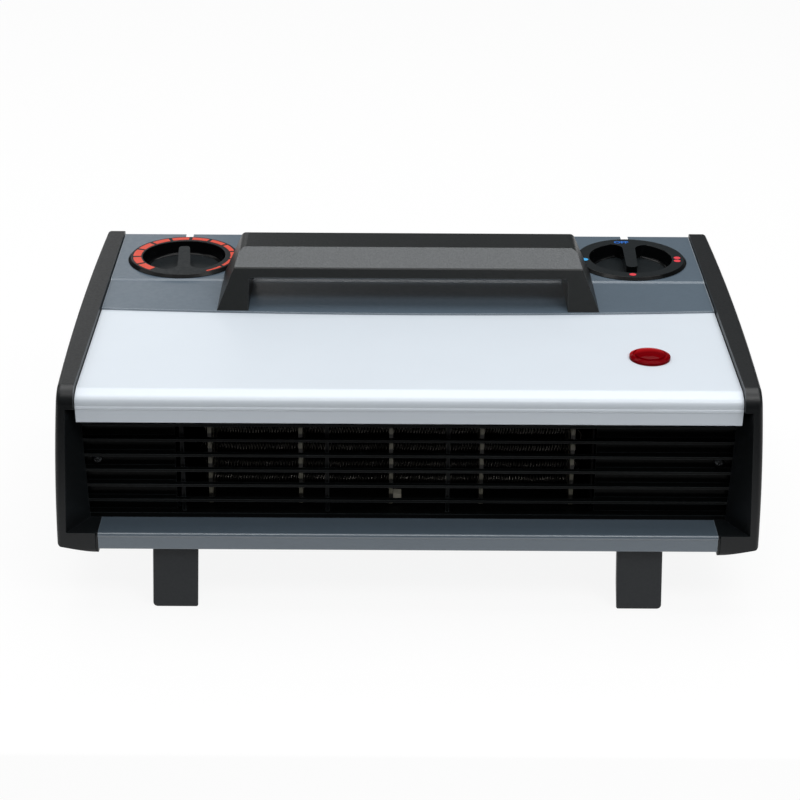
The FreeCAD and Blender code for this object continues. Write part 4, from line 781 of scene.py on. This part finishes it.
def ring_point(axis, radius_mm, degrees):
    """Point on a dial's ring, with 0 to the right and 90 to the rear."""
    angle = math.radians(degrees)
    return (axis.x + radius_mm * MM * math.cos(angle), axis.y + radius_mm * MM * math.sin(angle))


red_ink = ink("red_printing_ink", "#CC4430")
dark_red_ink = ink("crimson_printing_ink", "#D23A44")
blue_ink = ink("blue_printing_ink", "#1E5FB0")
pale_blue_ink = ink("sky_blue_printing_ink", "#3FA3DC")
white_ink = ink("white_printing_ink", "#F4F6F8")
print("five inks, each", INK_MM, "mm thick")

# %% [markdown]
# ### Thermostat scale
# Twelve blocks of red run clockwise round the ring and taper: wide blocks for more heat, thin ones for
# less. All share the outer edge. Each block is a strip of the ring, worked out from its angles.

# %% Thermostat scale
SCALE_FROM = 235.0
SCALE_TO = -61.0
SCALE_BLOCKS = 12
BLOCK_GAP = 4.0
SCALE_OUTER_MM = 31.5
SCALE_WIDE_MM = 5.0
SCALE_THIN_MM = 1.4
BLOCK_STEPS = 8

thermostat_low, thermostat_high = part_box("thermostat_knob")
thermostat_axis = (thermostat_low + thermostat_high) / 2

blocks = []
span = (SCALE_FROM - SCALE_TO) / SCALE_BLOCKS
for i in range(SCALE_BLOCKS):
    first = SCALE_FROM - i * span - BLOCK_GAP / 2
    last = SCALE_FROM - (i + 1) * span + BLOCK_GAP / 2
    outer = []
    inner = []
    for k in range(BLOCK_STEPS + 1):
        degrees = first + (last - first) * k / BLOCK_STEPS
        share = (SCALE_FROM - degrees) / (SCALE_FROM - SCALE_TO)
        width = SCALE_WIDE_MM + (SCALE_THIN_MM - SCALE_WIDE_MM) * share ** 2
        outer.append(ring_point(thermostat_axis, SCALE_OUTER_MM, degrees))
        inner.append(ring_point(thermostat_axis, SCALE_OUTER_MM - width, degrees))
    blocks.append(outer + inner[::-1])
piece("thermostat_scale", ink_sheet(blocks, thermostat_high.z), red_ink, "thermostat_dial")

# %% [markdown]
# ### Selector marks
# The selector has four places: the word OFF at the rear, a blue dot for cool air, one red dot for half heat
# and two for full heat. Each dot is a flat disc at its angle on the ring.

# %% Selector dots
MARK_RADIUS_MM = 28.8
DOT_MM = 4.2
DOT_STEPS = 20
COOL_AT = 187
HALF_HEAT_AT = -93
FULL_HEAT_AT = (0, -10.4)

selector_low, selector_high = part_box("selector_knob")
selector_axis = (selector_low + selector_high) / 2


def dot(degrees):
    """Round mark on the selector's ring."""
    x, y = ring_point(selector_axis, MARK_RADIUS_MM, degrees)
    turns = [2 * math.pi * k / DOT_STEPS for k in range(DOT_STEPS)]
    return [(x + DOT_MM / 2 * MM * math.cos(t), y + DOT_MM / 2 * MM * math.sin(t)) for t in turns]


cool_sheet = ink_sheet([dot(COOL_AT)], selector_high.z)
piece("cool_dot", cool_sheet, pale_blue_ink, "selector_dial")
heat_sheet = ink_sheet([dot(degrees) for degrees in (HALF_HEAT_AT, *FULL_HEAT_AT)], selector_high.z)
piece("heat_dots", heat_sheet, dark_red_ink, "selector_dial")

# %% [markdown]
# The word comes from Blender's own font, laid flat on the ring. A capital letter is about seven tenths of
# the font's size high, and a small offset thickens the strokes as printing ink does.

# %% Off word
WORD_AT = 97
WORD_RADIUS_MM = 27.0
WORD_HEIGHT_MM = 3.6
CAPITAL_SHARE = 0.7
STROKE_SPREAD_MM = 0.2

word = bpy.data.curves.new("word", "FONT")
word.body = "OFF"
word.align_x = "CENTER"
word.align_y = "CENTER"
word.size = WORD_HEIGHT_MM / CAPITAL_SHARE * MM
word.extrude = INK_MM / 2 * MM
word.offset = STROKE_SPREAD_MM * MM
word_object = bpy.data.objects.new("word", word)
scene.collection.objects.link(word_object)
word_mesh = bpy.data.meshes.new_from_object(word_object)
bpy.data.objects.remove(word_object)
word_x, word_y = ring_point(selector_axis, WORD_RADIUS_MM, WORD_AT)
word_z = selector_high.z + (INK_LIFT_MM + INK_MM / 2) * MM
word_mesh.transform(Matrix.Translation((word_x, word_y, word_z)))
piece("off_word", word_mesh, blue_ink, "selector_dial")

# %% [markdown]
# ### Index marks
# A short white bar behind each dial shows where the scale is read. It starts under the dial's rim and runs
# to the bend at the cover's rear, so rays from above find the paint and a narrow strip is laid on it, row
# by row.

# %% Index marks
INDEX_WIDTH_MM = 4.6
INDEX_FRONT_MM = 10.0
INDEX_REAR_MM = 1.2
INDEX_ROWS = 16
LOOK_FROM_MM = 100.0

cover = nodes["top_cover"].data
cover_tree = BVHTree.FromPolygons([v.co for v in cover.vertices], [p.vertices for p in cover.polygons])
cover_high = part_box("top_cover")[1]


def index_mark(name, x):
    """White bar that follows the cover to its rear bend."""
    work = bmesh.new()
    rings = []
    for i in range(INDEX_ROWS + 1):
        from_rear = INDEX_FRONT_MM + (INDEX_REAR_MM - INDEX_FRONT_MM) * i / INDEX_ROWS
        low_pair = []
        high_pair = []
        for side in (-1, 1):
            above = Vector((x + side * INDEX_WIDTH_MM / 2 * MM, cover_high.y - from_rear * MM,
                            cover_high.z + LOOK_FROM_MM * MM))
            hit, normal, _, _ = cover_tree.ray_cast(above, Vector((0, 0, -1)))
            low_pair.append(work.verts.new(hit + normal * INK_LIFT_MM * MM))
            high_pair.append(work.verts.new(hit + normal * (INK_LIFT_MM + INK_MM) * MM))
        rings.append(low_pair + high_pair[::-1])
    for a, b in zip(rings, rings[1:]):
        for k in range(4):
            work.faces.new((a[k], a[(k + 1) % 4], b[(k + 1) % 4], b[k]))
    work.faces.new(rings[0])
    work.faces.new(rings[-1])
    bmesh.ops.recalc_face_normals(work, faces=work.faces)
    piece(name, mesh_from(work, name), white_ink, "case")


index_mark("thermostat_index", thermostat_axis.x)
index_mark("selector_index", selector_axis.x)

# %% [markdown]
# ## Studio
# The heater stands on white paper under a white sky. To the camera, in gloss and through clear plastic both
# are plain white. The light that they throw on the heater is set apart from that, so that the paint keeps
# its written colour. A tenth of the paper's look is its true lit shade, which keeps the heater's shadow.

# %% Floor
FLOOR_HALF = 8.0
FLOOR_SHINE = 0.90
PAPER_GREY = (0.9, 0.9, 0.9, 1.0)


def seen_directly(tree):
    """One for rays from the camera, a gloss or clear plastic, and zero where light is gathered."""
    path = add(tree, "ShaderNodeLightPath")
    straight = add(tree, "ShaderNodeMath", {"operation": "MAXIMUM"},
                   links={0: path.outputs["Is Camera Ray"], 1: path.outputs["Is Glossy Ray"]})
    seen = add(tree, "ShaderNodeMath", {"operation": "MAXIMUM"},
               links={0: straight.outputs["Value"], 1: path.outputs["Is Transmission Ray"]})
    return seen.outputs["Value"]


def stage_sheet(name, corners, material):
    """Flat sheet that belongs to the studio."""
    mesh = bpy.data.meshes.new(name)
    mesh.from_pydata(corners, [], [(0, 1, 2, 3)])
    mesh.materials.append(material)
    sheet = bpy.data.objects.new(name, mesh)
    scene.collection.objects.link(sheet)
    return sheet


floor_paper = bpy.data.materials.new("white_paper_sweep")
tree = bare_tree(floor_paper)
lit = add(tree, "ShaderNodeBsdfDiffuse", values={"Color": PAPER_GREY})
glow = add(tree, "ShaderNodeEmission", values={"Strength": 1.0})
share = add(tree, "ShaderNodeMath", {"operation": "MULTIPLY"}, {1: FLOOR_SHINE}, {0: seen_directly(tree)})
both = add(tree, "ShaderNodeMixShader", links={0: share.outputs["Value"], 1: lit.outputs["BSDF"],
                                               2: glow.outputs["Emission"]})
add(tree, "ShaderNodeOutputMaterial", links={"Surface": both.outputs["Shader"]})
stage_sheet("floor", [(-FLOOR_HALF, -FLOOR_HALF, 0), (FLOOR_HALF, -FLOOR_HALF, 0),
                      (FLOOR_HALF, FLOOR_HALF, 0), (-FLOOR_HALF, FLOOR_HALF, 0)], floor_paper)
print("floor reaches", FLOOR_HALF, "m each way")

# %% [markdown]
# The sky is a world shader made the same way: white where it is seen, and a weak even fill where light is
# gathered from it.

# %% Sky
SKY_LIGHT = 0.28
WHITE = (1.0, 1.0, 1.0, 1.0)

sky = bpy.data.worlds.new("studio_sky")
tree = bare_tree(sky)
fill = add(tree, "ShaderNodeBackground", values={"Color": WHITE, "Strength": SKY_LIGHT})
white = add(tree, "ShaderNodeBackground", values={"Color": WHITE, "Strength": 1.0})
both = add(tree, "ShaderNodeMixShader", links={0: seen_directly(tree), 1: fill.outputs["Background"],
                                               2: white.outputs["Background"]})
add(tree, "ShaderNodeOutputWorld", links={"Surface": both.outputs["Shader"]})
scene.world = sky
print("sky is white to the camera and fills with", SKY_LIGHT)

# %% [markdown]
# ## Black card and dark cloth
# The shaded shelf under the grille shows that little light comes off the floor in front. Photographers lay
# a black card there to take the bounce away. The card is hidden from the camera and casts no shadow, so
# that the paper stays white to the eye.

# %% Black card
CARD_FRONT = -3.0
CARD_BACK = -0.265
CARD_HALF = 1.6
CARD_HEIGHT = 0.002
FELT_BLACK = (0.02, 0.02, 0.02, 1.0)

card_felt = bpy.data.materials.new("black_felt_card")
tree = bare_tree(card_felt)
felt = add(tree, "ShaderNodeBsdfDiffuse", values={"Color": FELT_BLACK})
add(tree, "ShaderNodeOutputMaterial", links={"Surface": felt.outputs["BSDF"]})
card_corners = [(-CARD_HALF, CARD_FRONT, CARD_HEIGHT), (CARD_HALF, CARD_FRONT, CARD_HEIGHT),
                (CARD_HALF, CARD_BACK, CARD_HEIGHT), (-CARD_HALF, CARD_BACK, CARD_HEIGHT)]
card = stage_sheet("black_card", card_corners, card_felt)
card.visible_camera = False
card.visible_shadow = False
print("black card lies in front, from", CARD_FRONT, "to", CARD_BACK, "m")

# %% [markdown]
# In a white room, black plastic seen at a low angle mirrors the walls and turns grey. Dark cloth round the
# set keeps it black. The cloth shows only in gloss: the camera, the lamps and the fill pass it by.

# %% Dark cloth
CLOTH_REACH = 2.6
CLOTH_HEIGHT = 3.2
CLOTH_LEVEL = 0.12

cloth = bpy.data.materials.new("dark_grey_cloth")
tree = bare_tree(cloth)
# The cloth is a faint even glow, not lit fabric: a painted light level for its grey.
cloth_glow = add(tree, "ShaderNodeEmission", values={"Strength": CLOTH_LEVEL})
add(tree, "ShaderNodeOutputMaterial", links={"Surface": cloth_glow.outputs["Emission"]})
posts = [(-CLOTH_REACH, -CLOTH_REACH), (CLOTH_REACH, -CLOTH_REACH), (CLOTH_REACH, CLOTH_REACH),
         (-CLOTH_REACH, CLOTH_REACH)]
for i, (start, end) in enumerate(zip(posts, posts[1:] + posts[:1])):
    corners = [(*start, 0.0), (*end, 0.0), (*end, CLOTH_HEIGHT), (*start, CLOTH_HEIGHT)]
    hung = stage_sheet("dark_cloth_" + str(i + 1), corners, cloth)
    hung.visible_camera = False
    hung.visible_diffuse = False
    hung.visible_transmission = False
    hung.visible_shadow = False
print("dark cloth hangs round the set at", CLOTH_REACH, "m")

# %% [markdown]
# ## Soft boxes
# Most light comes from a large soft box overhead, a little behind the heater, and a strip behind it draws
# the rear edges. A small low box at the left rear gives the left cap and cover their sheen. A front box
# lights the nose, a smaller one adds to the right, and one at the left fills that side. Rectangular area
# lamps stand for them, because their size sets how soft a shadow's edge and a highlight are.

# %% Soft boxes
AIM = Vector((0.0, 0.0, 0.1))


def soft_box(name, place, wide, deep, watts):
    """Rectangular lamp at a place, facing the heater."""
    lamp = bpy.data.lights.new(name, "AREA")
    lamp.shape = "RECTANGLE"
    lamp.size = wide
    lamp.size_y = deep
    lamp.energy = watts
    box = bpy.data.objects.new(name, lamp)
    facing = (AIM - Vector(place)).to_track_quat("-Z", "Y").to_matrix().to_4x4()
    box.matrix_world = Matrix.Translation(place) @ facing
    scene.collection.objects.link(box)
    print(name, watts, "W")


soft_box("overhead_box", (0.0, 0.15, 1.7), wide=1.8, deep=0.9, watts=14.0)
soft_box("rear_strip", (0.0, 0.95, 1.6), wide=1.8, deep=0.35, watts=6.0)
soft_box("left_rear_box", (-0.75, 1.76, 0.79), wide=1.0, deep=0.6, watts=1.6)
soft_box("front_box", (0.25, -1.2, 1.7), wide=1.6, deep=0.5, watts=12.0)
soft_box("right_front_box", (0.75, -0.85, 1.05), wide=0.7, deep=0.4, watts=4.5)
soft_box("left_box", (-1.6, 0.2, 1.2), wide=1.0, deep=1.0, watts=4.5)
